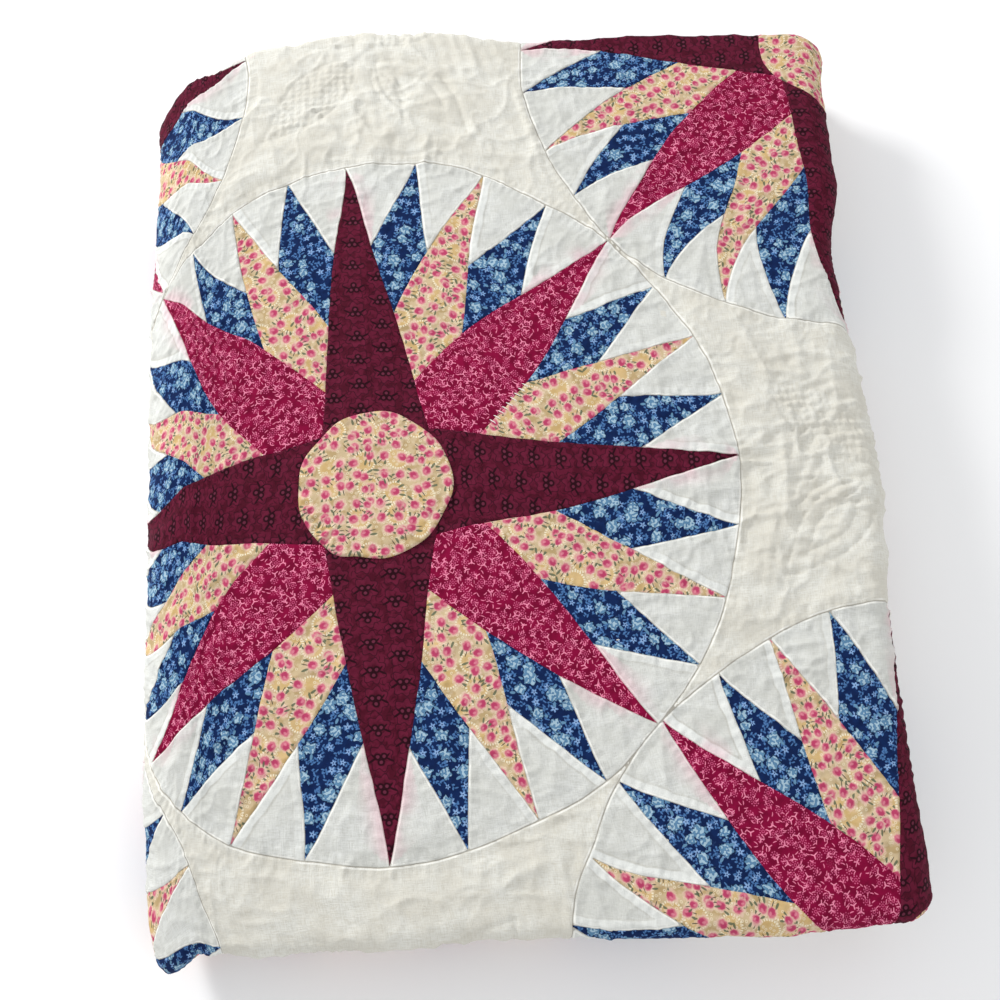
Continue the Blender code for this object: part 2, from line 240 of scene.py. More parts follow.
# The sewn-on disc. Columns of its waves: count, height as a share, phase. Of its corners: direction in
# degrees, how far it stands out, reach. Of its edge: share of the radius, lift
DISC_SIDES = 300
DISC_RADIUS = 0.0462
DISC_TOP = 0.0017
DISC_WAVES = ((2, 0.014, 0.4), (5, 0.011, 1.1), (9, 0.009, 2.3))
DISC_CORNERS = ((243, 0.0017, 0.28), (140, -0.0012, 0.45))
DISC_GATHERED_AT = 205
DISC_PRINT_SHIFT = 0.31
DISC_EDGE = ((0.90, -0.0002), (0.97, -0.0002), (1.0, 0.0003), (1.003, 0.0008), (0.994, 0.0014),
             (0.978, DISC_TOP))

# The whip stitches, beside one row of POINTS. Columns of a stitch's rings: share of its length and thickness
BESIDE_WHIP = 2
WHIP_STITCHES = 9
WHIP_START = 0.080
WHIP_PITCH = 0.0042
THREAD = 0.00034
STITCH_SIDES = 6
STITCH_RINGS = ((0.0, 0.4), (0.25, 1.0), (0.75, 1.0), (1.0, 0.4))

# The numbers that the meshes carry for their materials, away from every seam
MARKS = {"seam": 1.0, "side": 1.0, "band": 0.0, "red": 0.0}

# The sockets of a colour mixing node
MIX_UNDER = 6
MIX_OVER = 7
MIX_RESULT = 2

# Soft ridges. Columns: u, v, half length, half width, turn in degrees, rise. The first four are the solid's
CREASES = ((0.145, 0.002, 0.075, 0.018, 35, 0.0014),
           (0.175, -0.077, 0.080, 0.018, -20, 0.0012),
           (-0.020, 0.238, 0.090, 0.020, 12, 0.0013),
           (-0.120, -0.260, 0.080, 0.018, -25, 0.0011),
           (0.018, 0.222, 0.058, 0.0045, -76, 0.0017),
           (-0.082, 0.225, 0.040, 0.005, -80, 0.0009),
           (-0.093, 0.205, 0.020, 0.004, 75, 0.0006),
           (0.150, -0.010, 0.030, 0.0045, 28, 0.0015),
           (0.160, -0.058, 0.040, 0.0050, 8, 0.0014),
           (0.178, -0.028, 0.035, 0.0045, 62, 0.0013),
           (0.170, -0.092, 0.050, 0.0055, -8, 0.0013),
           (0.148, -0.078, 0.036, 0.0045, 84, 0.0010),
           (0.195, -0.048, 0.026, 0.0040, 22, 0.0011),
           (0.190, -0.112, 0.032, 0.0050, 6, 0.0010),
           (0.168, 0.032, 0.028, 0.0045, -12, 0.0012),
           (0.188, 0.012, 0.024, 0.0040, 35, 0.0010),
           (-0.015, -0.262, 0.035, 0.005, 24, 0.0011),
           (0.010, -0.264, 0.022, 0.004, -85, 0.0011),
           (0.066, -0.245, 0.048, 0.005, 78, 0.0012),
           (0.105, -0.242, 0.045, 0.006, 88, 0.0009),
           (0.060, -0.130, 0.050, 0.006, -52, 0.0007),
           (0.150, 0.165, 0.060, 0.008, 60, 0.0009),
           (0.130, -0.195, 0.050, 0.008, -35, 0.0009))


def between(start, end, share):
    """The value at a share of the way from start to end."""
    return start + (end - start) * share


def smooth(share):
    """A share from 0 to 1, eased at both ends."""
    return share * share * (3 - 2 * share)


def eased(rows, at):
    """The offset at each place in a table of rows (place, offset), eased from row to row."""
    places, values = np.array(rows).T
    at = np.clip(at, places[0], places[-1])
    row = np.clip(np.searchsorted(places, at, side="left") - 1, 0, len(places) - 2)
    return between(values[row], values[row + 1], smooth((at - places[row]) / (places[row + 1] - places[row])))


def soft_step(value, low, high):
    """0 below low, 1 above high, with a soft rise between them."""
    return smooth(np.clip((value - low) / (high - low), 0, 1))


def bell(distance):
    """1 at the middle of a soft bump, 0 at a distance of one reach."""
    return np.cos(np.minimum(distance, 1.0) * math.pi / 2) ** 2


def hill(distance, width):
    """1 at no distance, falling towards 0 over about two widths."""
    return np.exp(-(distance / width) ** 2)


def towards(side, place, low, high, reach):
    """1 at one end of a width, falling to 0 one reach in from it. 1 everywhere for side 0."""
    if side == 0:
        return 1.0
    inside = place - low if side < 0 else high - place
    return np.maximum(1 - inside / reach, 0) ** 2


def uneven(x, y, z):
    """Points of the straight block, moved to the block's real outline and height."""
    to_right = (x - LEFT) / (RIGHT - LEFT)
    to_far = (y - NEAR) / (FAR - NEAR)
    moved_x = x + to_right * eased(RIGHT_EDGE, y) + (1 - to_right) * eased(LEFT_EDGE, y)
    moved_y = y + to_far * eased(FAR_EDGE, x) + (1 - to_far) * eased(NEAR_EDGE, x)
    sunk = 0.0
    for side_x, side_y, reach_x, reach_y, share in SINKING:
        share_y = towards(side_y, y, NEAR, FAR, reach_y)
        sunk = sunk + share * towards(side_x, x, LEFT, RIGHT, reach_x) * share_y
    return np.stack([moved_x, moved_y, z * (1 - sunk)], -1)


def along_path(u):
    """The second fold at each u: x, z, the direction out in x and z, and both shortfalls."""
    out = np.zeros((6, len(u)))
    for low, high, run_a, run_b, x_a, x_b, angle_a, angle_b in PATH:
        here = (u >= low) & (u <= high)
        share = (u[here] - low) / (high - low)
        angle = np.radians(between(angle_a, angle_b, share))
        middle_a, middle_b = (PACK / 2 + run[0] * PACK_PITCH for run in (run_a, run_b))
        radius = abs(middle_a - middle_b) / 2
        out_x = np.cos(angle) if radius else 0 * angle
        out_z = np.sin(angle)
        out[:, here] = (between(x_a, x_b, share) + radius * out_x, (middle_a + middle_b) / 2 + radius * out_z,
                        out_x, out_z, between(run_a[1], run_b[1], share), between(run_a[2], run_b[2], share))
    return out


def along_section(v, lift):
    """The first fold at each v, lifted off the cloth's outer side: y and the height across the pack."""
    y = np.zeros(len(v))
    across = np.zeros(len(v))
    for low, high, y_a, y_b, middle, radius, angle_a, angle_b in SECTION:
        here = (v >= low) & (v <= high)
        share = (v[here] - low) / (high - low)
        angle = np.radians(between(angle_a, angle_b, share))
        reach = radius + lift[here]
        y[here] = between(y_a, y_b, share) + (0 if angle_a == angle_b else reach * np.cos(angle))
        across[here] = middle + reach * np.sin(angle)
    return y, across


def place(u, v, lift):
    """Places on the block, for flat cloth places and a lift off its outer side."""
    u = np.clip(u, U_START, U_END)
    v = np.clip(v, V_LOWER_EDGE, V_UPPER_EDGE)
    x, z, out_x, out_z, near, far = along_path(u)
    y, across = along_section(v, lift)
    to_far = (y - NEAR) / (FAR - NEAR)
    y = y + near * (1 - to_far) - far * to_far
    return uneven(x + across * out_x, y, z + across * out_z)


def noise(x, y, size, seed):
    """Smooth random heights from -1 to 1, of about one hill per size."""
    table = np.random.default_rng(seed).uniform(-1, 1, (256, 256))
    column = x / size + 1000.37
    row = y / size + 1000.71
    left = np.floor(column).astype(int)
    low = np.floor(row).astype(int)
    share_x = smooth(column - left)
    share_y = smooth(row - low)
    corner = [[table[(low + dy) % 256, (left + dx) % 256] for dx in (0, 1)] for dy in (0, 1)]
    bottom, top = (first * (1 - share_x) + second * share_x for first, second in corner)
    return bottom * (1 - share_y) + top * share_y


def rumples(x, y, size, seed, sharp=1.5):
    """Narrow crinkle lines between softer hollows, from 0 to 1."""
    bent = noise(x, y, size * 1.7, seed + 50) * size * 0.5
    return (1 - np.abs(noise(x + bent, y - bent, size, seed))) ** (2 * sharp)


def broad_relief(u, v):
    """Height of the top over its plain face: the solid's own relief, finer creases and soft hills."""
    from_u = u - MAIN_U
    from_v = v - MAIN_V
    radius = np.hypot(from_u, from_v)
    seam = SEAM_DIP * bell(np.abs(radius - COMPASS_RADIUS) / SEAM_REACH)
    fading = np.sqrt(np.maximum(1 - radius / COMPASS_RADIUS, 0))
    height = POINT_RIDGE * (0.5 + 0.5 * np.cos(np.arctan2(from_u, from_v) * 8)) * fading - 0.6 * seam
    for crease_u, crease_v, half_length, half_width, turn, rise in CREASES:
        angle = math.radians(turn)
        along = (u - crease_u) * math.cos(angle) + (v - crease_v) * math.sin(angle)
        across = (v - crease_v) * math.cos(angle) - (u - crease_u) * math.sin(angle)
        height = height + rise * bell(np.hypot(along / half_length, across / half_width))
    for rise, size, seed in SOFT_HILLS:
        height = height + rise * noise(u, v, size, seed)
    outside_disc = np.clip(radius / SOLID_DISC_RADIUS - 1.25, 0, 1)
    top = soft_step(u, U_LEFT - 0.030, U_LEFT) * (1 - soft_step(u, U_RIGHT, U_RIGHT + 0.02))
    top = top * soft_step(v, V_NEAR - 0.008, V_NEAR) * (1 - soft_step(v, V_FAR, V_FAR + 0.006))
    return height * outside_disc * top


def make_compasses():
    """Every compass of the pattern, with its middle in flat cloth places and its 32 tips."""
    seen = {row[1:3]: row for row in SEEN_COMPASSES}
    made = []
    for i in range(-5, 5):
        for j in range(-4 + i % 2, 3, 2):
            row = seen.get((i, j), ("far_off", i, j, i * LATTICE, j * LATTICE, EVEN_RADIUS, 0.0, 0.0, 0.0))
            name, _, _, across, away, radius, turn, drift_u, drift_v = row
            slips = {direction: slip for direction, *slip in SLIPS.get(name, ())}
            tips = {}
            for k in range(32):
                direction = k * TIP_TURN
                reach, aside = slips.get(direction, (1.0, 0.0))
                angle = math.radians(direction + turn + aside)
                lean = drift_u * math.cos(angle) - drift_v * math.sin(angle)
                if name == "main":
                    lean = BURGUNDY_LEANS.get(direction, LEAN * (aside - LEAN_FREE))
                tips[direction] = (radius * reach, angle, lean)
            made.append({"name": name, "u": MAIN_U + across, "v": MAIN_V + away, "radius": radius,
                         "tips": tips, "disc_u": drift_u, "disc_v": drift_v * 0.7})
    return made


COMPASSES = make_compasses()


def rim_of(compass, theta):
    """How far the circle's seam is from the compass's middle. It passes through the tips."""
    total = 0
    weight = 0
    for reach, angle, _ in compass["tips"].values():
        pull = bell(np.abs((theta - angle + math.pi) % math.tau - math.pi) / math.radians(15))
        total = total + pull * reach
        weight = weight + pull
    return total / weight + 0.0004


def point_shape(from_tip, half_angle, shoulder, lean):
    """Half the width of a point at distances from its tip, and how far its middle line stands aside."""
    bulge = 1 + shoulder * np.sin(math.pi * np.minimum(from_tip / SHOULDER_AT, 1.25))
    aside = lean * (1 - np.exp(-from_tip / LEAN_REACH)) * (1 - 2 * from_tip)
    return from_tip * math.tan(math.radians(half_angle)) * bulge, aside


def in_point(compass, direction, half_angle, shoulder, across, away):
    """Whether places, measured from the compass's middle, lie in one of its points."""
    reach, angle, lean = compass["tips"][direction]
    axis_u, axis_v = math.sin(angle), math.cos(angle)
    from_tip = reach - (across * axis_u + away * axis_v)
    width, middle = point_shape(from_tip, half_angle, shoulder, lean)
    aside = across * axis_v - away * axis_u - middle
    return (from_tip > 0) & (from_tip < reach) & (np.abs(aside) < width)


def within(stretch, u, v, reach=0.0):
    """Whether places lie in a stretch of cloth, widened by a reach."""
    low_u, high_u, low_v, high_v = stretch
    return (u > low_u - reach) & (u < high_u + reach) & (v > low_v - reach) & (v < high_v + reach)


def near_compasses(stretch):
    """The numbers of the compasses that reach into a stretch of cloth."""
    return [number for number, compass in enumerate(COMPASSES)
            if within(stretch, compass["u"], compass["v"], compass["radius"] * 1.05)]


def fabric_at(u, v, numbers):
    """The fabric and the patch number at places of the flat cloth."""
    fabric = np.full(len(u), MUSLIN)
    patch = np.full(len(u), -1)
    for number in numbers:
        compass = COMPASSES[number]
        across = u - compass["u"]
        away = v - compass["v"]
        inside = np.nonzero(np.hypot(across, away) < compass["radius"] * 1.08)[0]
        across, away = across[inside], away[inside]
        theta = np.arctan2(across, away)
        within = np.hypot(across, away) < rim_of(compass, theta)
        inside, across, away, theta = inside[within], across[within], away[within], theta[within]
        kind = np.full(len(inside), WHITE)
        which = WEDGES + (np.floor(theta / math.radians(TIP_TURN)) % 32).astype(int)
        for direction, half_angle, shoulder, colour in ALL_POINTS:
            hit = in_point(compass, direction, half_angle, shoulder, across, away)
            kind[hit] = colour
            which[hit] = round(direction / TIP_TURN)
        if compass["name"] != "main":
            from_disc = np.hypot(across - compass["disc_u"], away - compass["disc_v"])
            disc = from_disc < compass["radius"] * DISC_SHARE
            kind[disc] = FLORAL
            which[disc] = DISC_PATCH
        fabric[inside] = kind
        patch[inside] = number * 100 + which
    return fabric, patch


def from_axis(u, v, angle, along, aside):
    """Places along and beside an axis that starts at a place and points in a direction."""
    sin, cos = math.sin(angle), math.cos(angle)
    return u + along * sin + aside * cos, v + along * cos - aside * sin


def seam_curves(compass):
    """Every curve that can be a seam of one compass: its kind, and close places on the flat cloth."""
    turns = np.arange(0, math.tau, SEAM_STEP / compass["radius"])
    rims = [("circle", rim_of(compass, turns), 0.0, 0.0)]
    if compass["name"] != "main":
        rims.append(("disc", compass["radius"] * DISC_SHARE, compass["disc_u"], compass["disc_v"]))
    curves = []
    for kind, reach, aside_u, aside_v in rims:
        curves.append((kind, compass["u"] + aside_u + reach * np.sin(turns),
                       compass["v"] + aside_v + reach * np.cos(turns)))
    for direction, half_angle, shoulder, _ in ALL_POINTS:
        reach, angle, lean = compass["tips"][direction]
        from_tip = np.arange(0, reach, SEAM_STEP)
        width, middle = point_shape(from_tip, half_angle, shoulder, lean)
        for side in (-1, 1):
            curves.append(("side", *from_axis(compass["u"], compass["v"], angle, reach - from_tip,
                                              middle + side * width)))
    return curves


def seen_seams(numbers, stretch):
    """The stretches of the seam curves with different patches on their two sides."""
    stretches = []
    for number in numbers:
        for kind, u, v in seam_curves(COMPASSES[number]):
            step_u, step_v = np.gradient(u), np.gradient(v)
            length = np.hypot(step_u, step_v) + 1e-12
            side_u = -step_v / length * BESIDE_SEAM
            side_v = step_u / length * BESIDE_SEAM
            fabric_a, patch_a = fabric_at(u + side_u, v + side_v, numbers)
            fabric_b, patch_b = fabric_at(u - side_u, v - side_v, numbers)
            shown = (patch_a != patch_b) & ((fabric_a != WHITE) | (fabric_b != WHITE) | (kind == "circle"))
            shown &= within(stretch, u, v)
            red = (fabric_a >= RASPBERRY) | (fabric_b >= RASPBERRY)
            ends = np.flatnonzero(np.diff(np.concatenate([[0], shown.astype(int), [0]])))
            for start, end in zip(ends[::2], ends[1::2]):
                if end - start > 1:
                    stretches.append((kind, u[start:end], v[start:end], red[start:end]))
    return stretches


def leaf_width(share):
    """How wide a quilted leaf is at shares of its length, 1 at its widest."""
    return np.sin(math.pi * share ** 0.85)


def leaf(u, v, length, half_width, turn):
    """The closed outline of a quilted leaf from its stalk end, as close places on the flat cloth."""
    share = np.linspace(0, 1, 60)
    width = half_width * leaf_width(share)
    along = np.concatenate([share, share[::-1]]) * length
    return from_axis(u, v, math.radians(turn), along, np.concatenate([width, -width[::-1]]))


def gap_quilting(middle_u, middle_v):
    """The quilted lines between four compasses: four leaves, two filled with a lattice, two with leaves."""
    lines = []
    swapped = middle_v > MAIN_V + LATTICE / 2
    for k, turn in enumerate((47, 133, 227, 313)):
        angle = math.radians(turn)
        root = from_axis(middle_u, middle_v, angle, 0.010, 0)
        lines.append(leaf(*root, LEAF, 0.0185, turn))
        if k % 2 == swapped:
            lines.append(leaf(*from_axis(*root, angle, 0.018, 0), 0.042, 0.0085, turn))
            lines.append(leaf(*from_axis(*root, angle + 1.2, 0.006, 0), 0.050, 0.0065, turn + 24))
            continue
        along = np.linspace(0, LEAF, 90)
        half_width = 0.0180 * leaf_width(along / LEAF)
        for slant in (-1, 1):
            for row in range(-5, 13):
                aside = slant * (along - row * LATTICE_LINES)
                kept = np.abs(aside) < half_width
                if kept.sum() > 4:
                    lines.append(from_axis(*root, angle, along[kept], aside[kept]))
    return lines


def length_along(u, v):
    """How far along a line each of its places is."""
    return np.concatenate([[0], np.cumsum(np.hypot(np.diff(u), np.diff(v)))])


def close_samples(u, v, step):
    """A line's places moved to even steps, with how far along each one is."""
    length = length_along(u, v)
    count = max(int(round(length[-1] / step)), 1)
    at = np.linspace(0, length[-1], count + 1)
    return np.interp(at, length, u), np.interp(at, length, v), at


def tree_of(lines):
    """A search tree over many lines, and how far along its line each place is."""
    u, v, along = (np.concatenate(column) for column in zip(*lines))
    tree = KDTree(len(u))
    for number, (at_u, at_v) in enumerate(zip(u.tolist(), v.tolist())):
        tree.insert((at_u, at_v, 0.0), number)
    tree.balance()
    return tree, along


def nearest(tree, u, v):
    """Distance to the nearest place of a tree, and its number, for each place."""
    found = [tree.find((at_u, at_v, 0.0)) for at_u, at_v in zip(u.tolist(), v.tolist())]
    return np.array([distance for _, _, distance in found]), np.array([number for _, number, _ in found], int)


def pulled(u, v):
    """Flat pattern places, moved to where the gathered and hand-pieced cloth has them."""
    gathered = PULL * soft_step(PULL_START - u, 0, PULL_REACH)
    inside = soft_step(V_FAR - v, 0, 0.04) * soft_step(v - V_NEAR, 0, 0.04)
    into_rise = RISE_START - u
    risen = RISE * soft_step(into_rise, 0, RISE_REACH) * (1 - soft_step(into_rise, 0.06, 0.13)) * inside
    waver_u, waver_v = (sum(row[0] * noise(u, v, row[1], row[column]) for row in WAVERS) for column in (2, 3))
    return u + gathered + waver_u, v + risen + waver_v


def settled(triangles, fabric, patch):
    """Gives a lone sliver at a seam the fabric and the number of a patch beside it."""
    sides = np.sort(np.concatenate([triangles[:, [0, 1]], triangles[:, [1, 2]], triangles[:, [2, 0]]]), 1)
    owner = np.tile(np.arange(len(triangles)), 3)
    order = np.lexsort((sides[:, 1], sides[:, 0]))
    sides, owner = sides[order], owner[order]
    shared = (sides[1:] == sides[:-1]).all(1)
    first, second = owner[:-1][shared], owner[1:][shared]
    here, beside = np.concatenate([first, second]), np.concatenate([second, first])
    lone = np.bincount(here, fabric[here] == fabric[beside], len(triangles)) == 0
    moved = lone[here] & ~lone[beside]
    for values in (fabric, patch):
        values[here[moved]] = values[beside[moved]]
    return fabric, patch


def cloth_net(stretch, size):
    """Triangles over a stretch of the flat pattern, cut along every seam."""
    low_u, high_u, low_v, high_v = stretch
    numbers = near_compasses(stretch)
    seams = seen_seams(numbers, stretch)
    grid_u, grid_v = np.meshgrid(np.arange(low_u, high_u, size), np.arange(low_v, high_v, size * 0.866))
    grid_u[1::2] += size / 2
    grid_u, grid_v = grid_u.ravel(), grid_v.ravel()
    inside = within(stretch, grid_u, grid_v, -size * 0.4)
    grid_u, grid_v = grid_u[inside], grid_v[inside]
    edge_u, edge_v = (np.linspace(low, high, int((high - low) / size) + 2)
                      for low, high in ((low_u, high_u), (low_v, high_v)))
    border_u = np.concatenate([edge_u, edge_u, 0 * edge_v + low_u, 0 * edge_v + high_u])
    border_v = np.concatenate([0 * edge_u + low_v, 0 * edge_u + high_v, edge_v, edge_v])
    corners = []
    edges = []
    if seams:
        tree, _ = tree_of([(u, v, u) for _, u, v, _ in seams])
        clear = nearest(tree, grid_u, grid_v)[0] > size * 0.45
        grid_u, grid_v = grid_u[clear], grid_v[clear]
        for _, u, v, _ in seams:
            u, v, _ = close_samples(u, v, size)
            edges.extend((k, k + 1) for k in range(len(corners), len(corners) + len(u) - 1))
            corners.extend(zip(u.tolist(), v.tolist()))
    for u, v in ((border_u, border_v), (grid_u, grid_v)):
        corners.extend(zip(u.tolist(), v.tolist()))
    cut = delaunay_2d_cdt([Vector(corner) for corner in corners], edges, [], 0, 1e-6)
    flat = np.array([tuple(corner) for corner in cut[0]])
    triangles = np.array([(face[0], *pair) for face in cut[2] for pair in zip(face[1:], face[2:])])
    middle = flat[triangles].mean(1)
    fabric, patch = settled(triangles, *fabric_at(middle[:, 0], middle[:, 1], numbers))
    return flat, triangles, fabric, patch, seams, numbers


def stitched(along):
    """Where hand stitches sink, from 0 to 1, at lengths along a seam."""
    return 0.5 + 0.5 * np.cos(along / STITCH * math.tau)


def limp_folds(u, v, limp):
    """Height of the fine crinkles, wrinkles and gathers of the cloth, from how limp it is at each place."""
    crinkle = sum(rumples(u * stretch_u, v * stretch_v, size, seed) * rise
                  for stretch_u, stretch_v, size, seed, rise in CRINKLES) + 0.00026 * noise(u, v, 0.0045, 35)
    height = crinkle * limp - 0.0007
    beside_fold = bell(np.hypot((u - 0.175) / 0.10, (v + 0.025) / 0.13))
    height = height + 0.0014 * beside_fold * (rumples(u, v * 2.8, 0.032, 47, 2.5) - 0.3)
    for in_v, low, high, middle, reach, slant, waver, size, pitch, rise, steady, spot, seed in GATHERS:
        along, across = (v, u) if in_v else (u, v)
        gathered = soft_step(along, low, high) * bell((across - middle) / reach)
        ripple = np.sin((across + slant * along + waver * noise(u, v, size, seed)) / pitch * math.tau)
        patchy = steady + (1 - steady) * noise(u, v, spot, seed + 1)
        height = height + rise * gathered * ripple * patchy
    return height


def fine_relief(flat, seams, quilting, numbers):
    """Height of the needlework at flat places, and the attributes that its colours use."""
    u, v = flat[:, 0], flat[:, 1]
    limp = np.where(fabric_at(u, v, numbers)[0] <= WHITE, 1.3, 0.75)
    for middle_u, middle_v, reach_u, reach_v, more in LIMP_GAPS:
        limp = limp * (1 + more * bell(np.hypot((u - middle_u) / reach_u, (v - middle_v) / reach_v)))
    height = limp_folds(u, v, limp)
    marks = {name: np.full(len(u), value) for name, value in MARKS.items()}
    if seams:
        lines = [(line_u, line_v, length_along(line_u, line_v)) for _, line_u, line_v, _ in seams]
        tree, along = tree_of(lines)
        seam, number = nearest(tree, u, v)
        seam = np.where(seam < SEAM_STEP * 0.6, 0, seam)
        along = along[number]
        for away, width, rise, steady, sinking in NEEDLEWORK:
            height = height + rise * hill(seam - away, width) * (steady + sinking * stitched(along))
        height = height + PUFF * (1 - hill(np.maximum(seam - ALLOWANCE, 0), 0.006))
        pucker = np.cos((along + 0.002 * noise(u, v, 0.02, 39)) / PUCKER_PITCH * math.tau)
        height = height + PUCKER * pucker * hill(seam - 0.0030, 0.0030)
        marks["seam"] = seam
        marks["red"] = np.concatenate([row[3] for row in seams])[number] * hill(seam, 0.0070)
        sides = [line for line, row in zip(lines, seams) if row[0] == "side"]
        if sides:
            marks["side"], number = nearest(tree_of(sides)[0], u, v)
            strength = np.random.default_rng(11).uniform(-0.4, 1.0, len(sides)).clip(0, 1)
            marks["band"] = np.repeat(strength, [len(line[0]) for line in sides])[number]
    if quilting:
        tree, along = tree_of([close_samples(line_u, line_v, 0.0008) for line_u, line_v in quilting])
        apart, number = nearest(tree, u, v)
        height = height - QUILTED * hill(apart, 0.0013) * (0.55 + 0.45 * stitched(along[number]))
        height = height + QUILTED_PUFF * (1 - hill(apart, 0.0042)) * hill(apart, 0.03)
    return height, marks


def linked(name, data):
    """A new object of the scene."""
    thing = bpy.data.objects.new(name, data)
    bpy.context.scene.collection.objects.link(thing)
    return thing


def mesh_object(name, points, triangles):
    """A smooth-shaded object of a mesh of triangles, without vertices that none of them uses."""
    used, corners = np.unique(triangles, return_inverse=True)
    corners = corners.reshape(-1)
    mesh = bpy.data.meshes.new(name)
    mesh.vertices.add(len(used))
    mesh.vertices.foreach_set("co", points[used].astype(np.float32).ravel())
    mesh.loops.add(len(corners))
    mesh.loops.foreach_set("vertex_index", corners.astype(np.int32))
    mesh.polygons.add(len(triangles))
    mesh.polygons.foreach_set("loop_start", np.arange(0, len(corners), 3, dtype=np.int32))
    mesh.update(calc_edges=True)
    mesh.validate()
    mesh.shade_smooth()
    return linked(name, mesh), used


def set_print(thing, places):
    """Writes where each corner of a mesh's faces lies on the printed cloth."""
    thing.data.uv_layers.new(name="print").data.foreach_set("uv", places.astype(np.float32).ravel())


def at_corners(thing, values):
    """Values of a mesh's vertices, repeated for each corner of its faces."""
    corner = np.empty(len(thing.data.loops), np.int32)
    thing.data.loops.foreach_get("vertex_index", corner)
    return values[corner]


def set_mark(thing, name, values):
    """Writes a number at each vertex, for the materials."""
    thing.data.attributes.new(name, "FLOAT", "POINT").data.foreach_set("value", values.astype(np.float32))


def print_places(flat, triangles, patch):
    """Where each triangle's corners lie on the printed cloth that its patch was cut from, in metres."""
    which = patch % 100
    middles = np.array([(compass["u"], compass["v"]) for compass in COMPASSES] + [(0.0, 0.0)])
    home = middles[np.where(patch < 0, len(COMPASSES), patch // 100)]
    rng = np.random.default_rng(5)
    turns = rng.uniform(-0.16, 0.16, CUTS)
    shifts = rng.uniform(-0.7, 0.7, (CUTS, 2))
    cut = np.maximum(patch, 0) % CUTS
    angle = np.where(patch < 0, 0.0, np.where(which < 32, np.radians(which * TIP_TURN), 0.0) + turns[cut])
    x, y = np.moveaxis(flat[triangles] - home[:, None, :], -1, 0)
    cos, sin = np.cos(angle)[:, None], np.sin(angle)[:, None]
    return np.stack([x * cos - y * sin, x * sin + y * cos], -1) + shifts[cut][:, None, :]


def add_node(tree, kind, inputs):
    """A new shader node, with its inputs fed by signals, sockets or plain values."""
    node = tree.nodes.new("ShaderNode" + kind)
    for name, value in inputs.items():
        if isinstance(value, Signal):
            value = value.socket
        if isinstance(value, bpy.types.NodeSocket):
            tree.links.new(value, node.inputs[name])
        else:
            node.inputs[name].default_value = value
    return node


class Signal:
    """A number that changes over the cloth, worked out by math nodes."""

    def __init__(self, tree, socket):
        self.tree = tree
        self.socket = socket

    def math(self, operation, *others):
        node = self.tree.nodes.new("ShaderNodeMath")
        node.operation = operation
        for slot, other in enumerate((self, *others)):
            if isinstance(other, Signal):
                self.tree.links.new(other.socket, node.inputs[slot])
            else:
                node.inputs[slot].default_value = other
        return Signal(self.tree, node.outputs[0])

    def __add__(self, other):
        return self.math("ADD", other)

    def __sub__(self, other):
        return self.math("SUBTRACT", other)

    def __mul__(self, other):
        return self.math("MULTIPLY", other)

    def __truediv__(self, other):
        return self.math("DIVIDE", other)

    def apart(self, value):
        """How far the number is from a value."""
        return (self - value).math("ABSOLUTE")

    def below(self, edge, soft=0.25):
        """1 where the number is below the edge, 0 above it, with a soft change of the given width."""
        node = add_node(self.tree, "MapRange", {"Value": self, "From Min": edge - soft / 2,
                                                "From Max": edge + soft / 2, "To Min": 1.0, "To Max": 0.0})
        node.interpolation_type = "SMOOTHSTEP"
        return Signal(self.tree, node.outputs["Result"])

    def above(self, edge, soft=0.25):
        """1 where the number is above the edge."""
        return self.below(edge, soft) * -1 + 1


def colour_of(red, green, blue):
    """A colour for a shader, from its 0 to 255 values on a screen."""
    linear = [c / 255 / 12.92 if c <= 10 else ((c / 255 + 0.055) / 1.055) ** 2.4 for c in (red, green, blue)]
    return (*linear, 1.0)


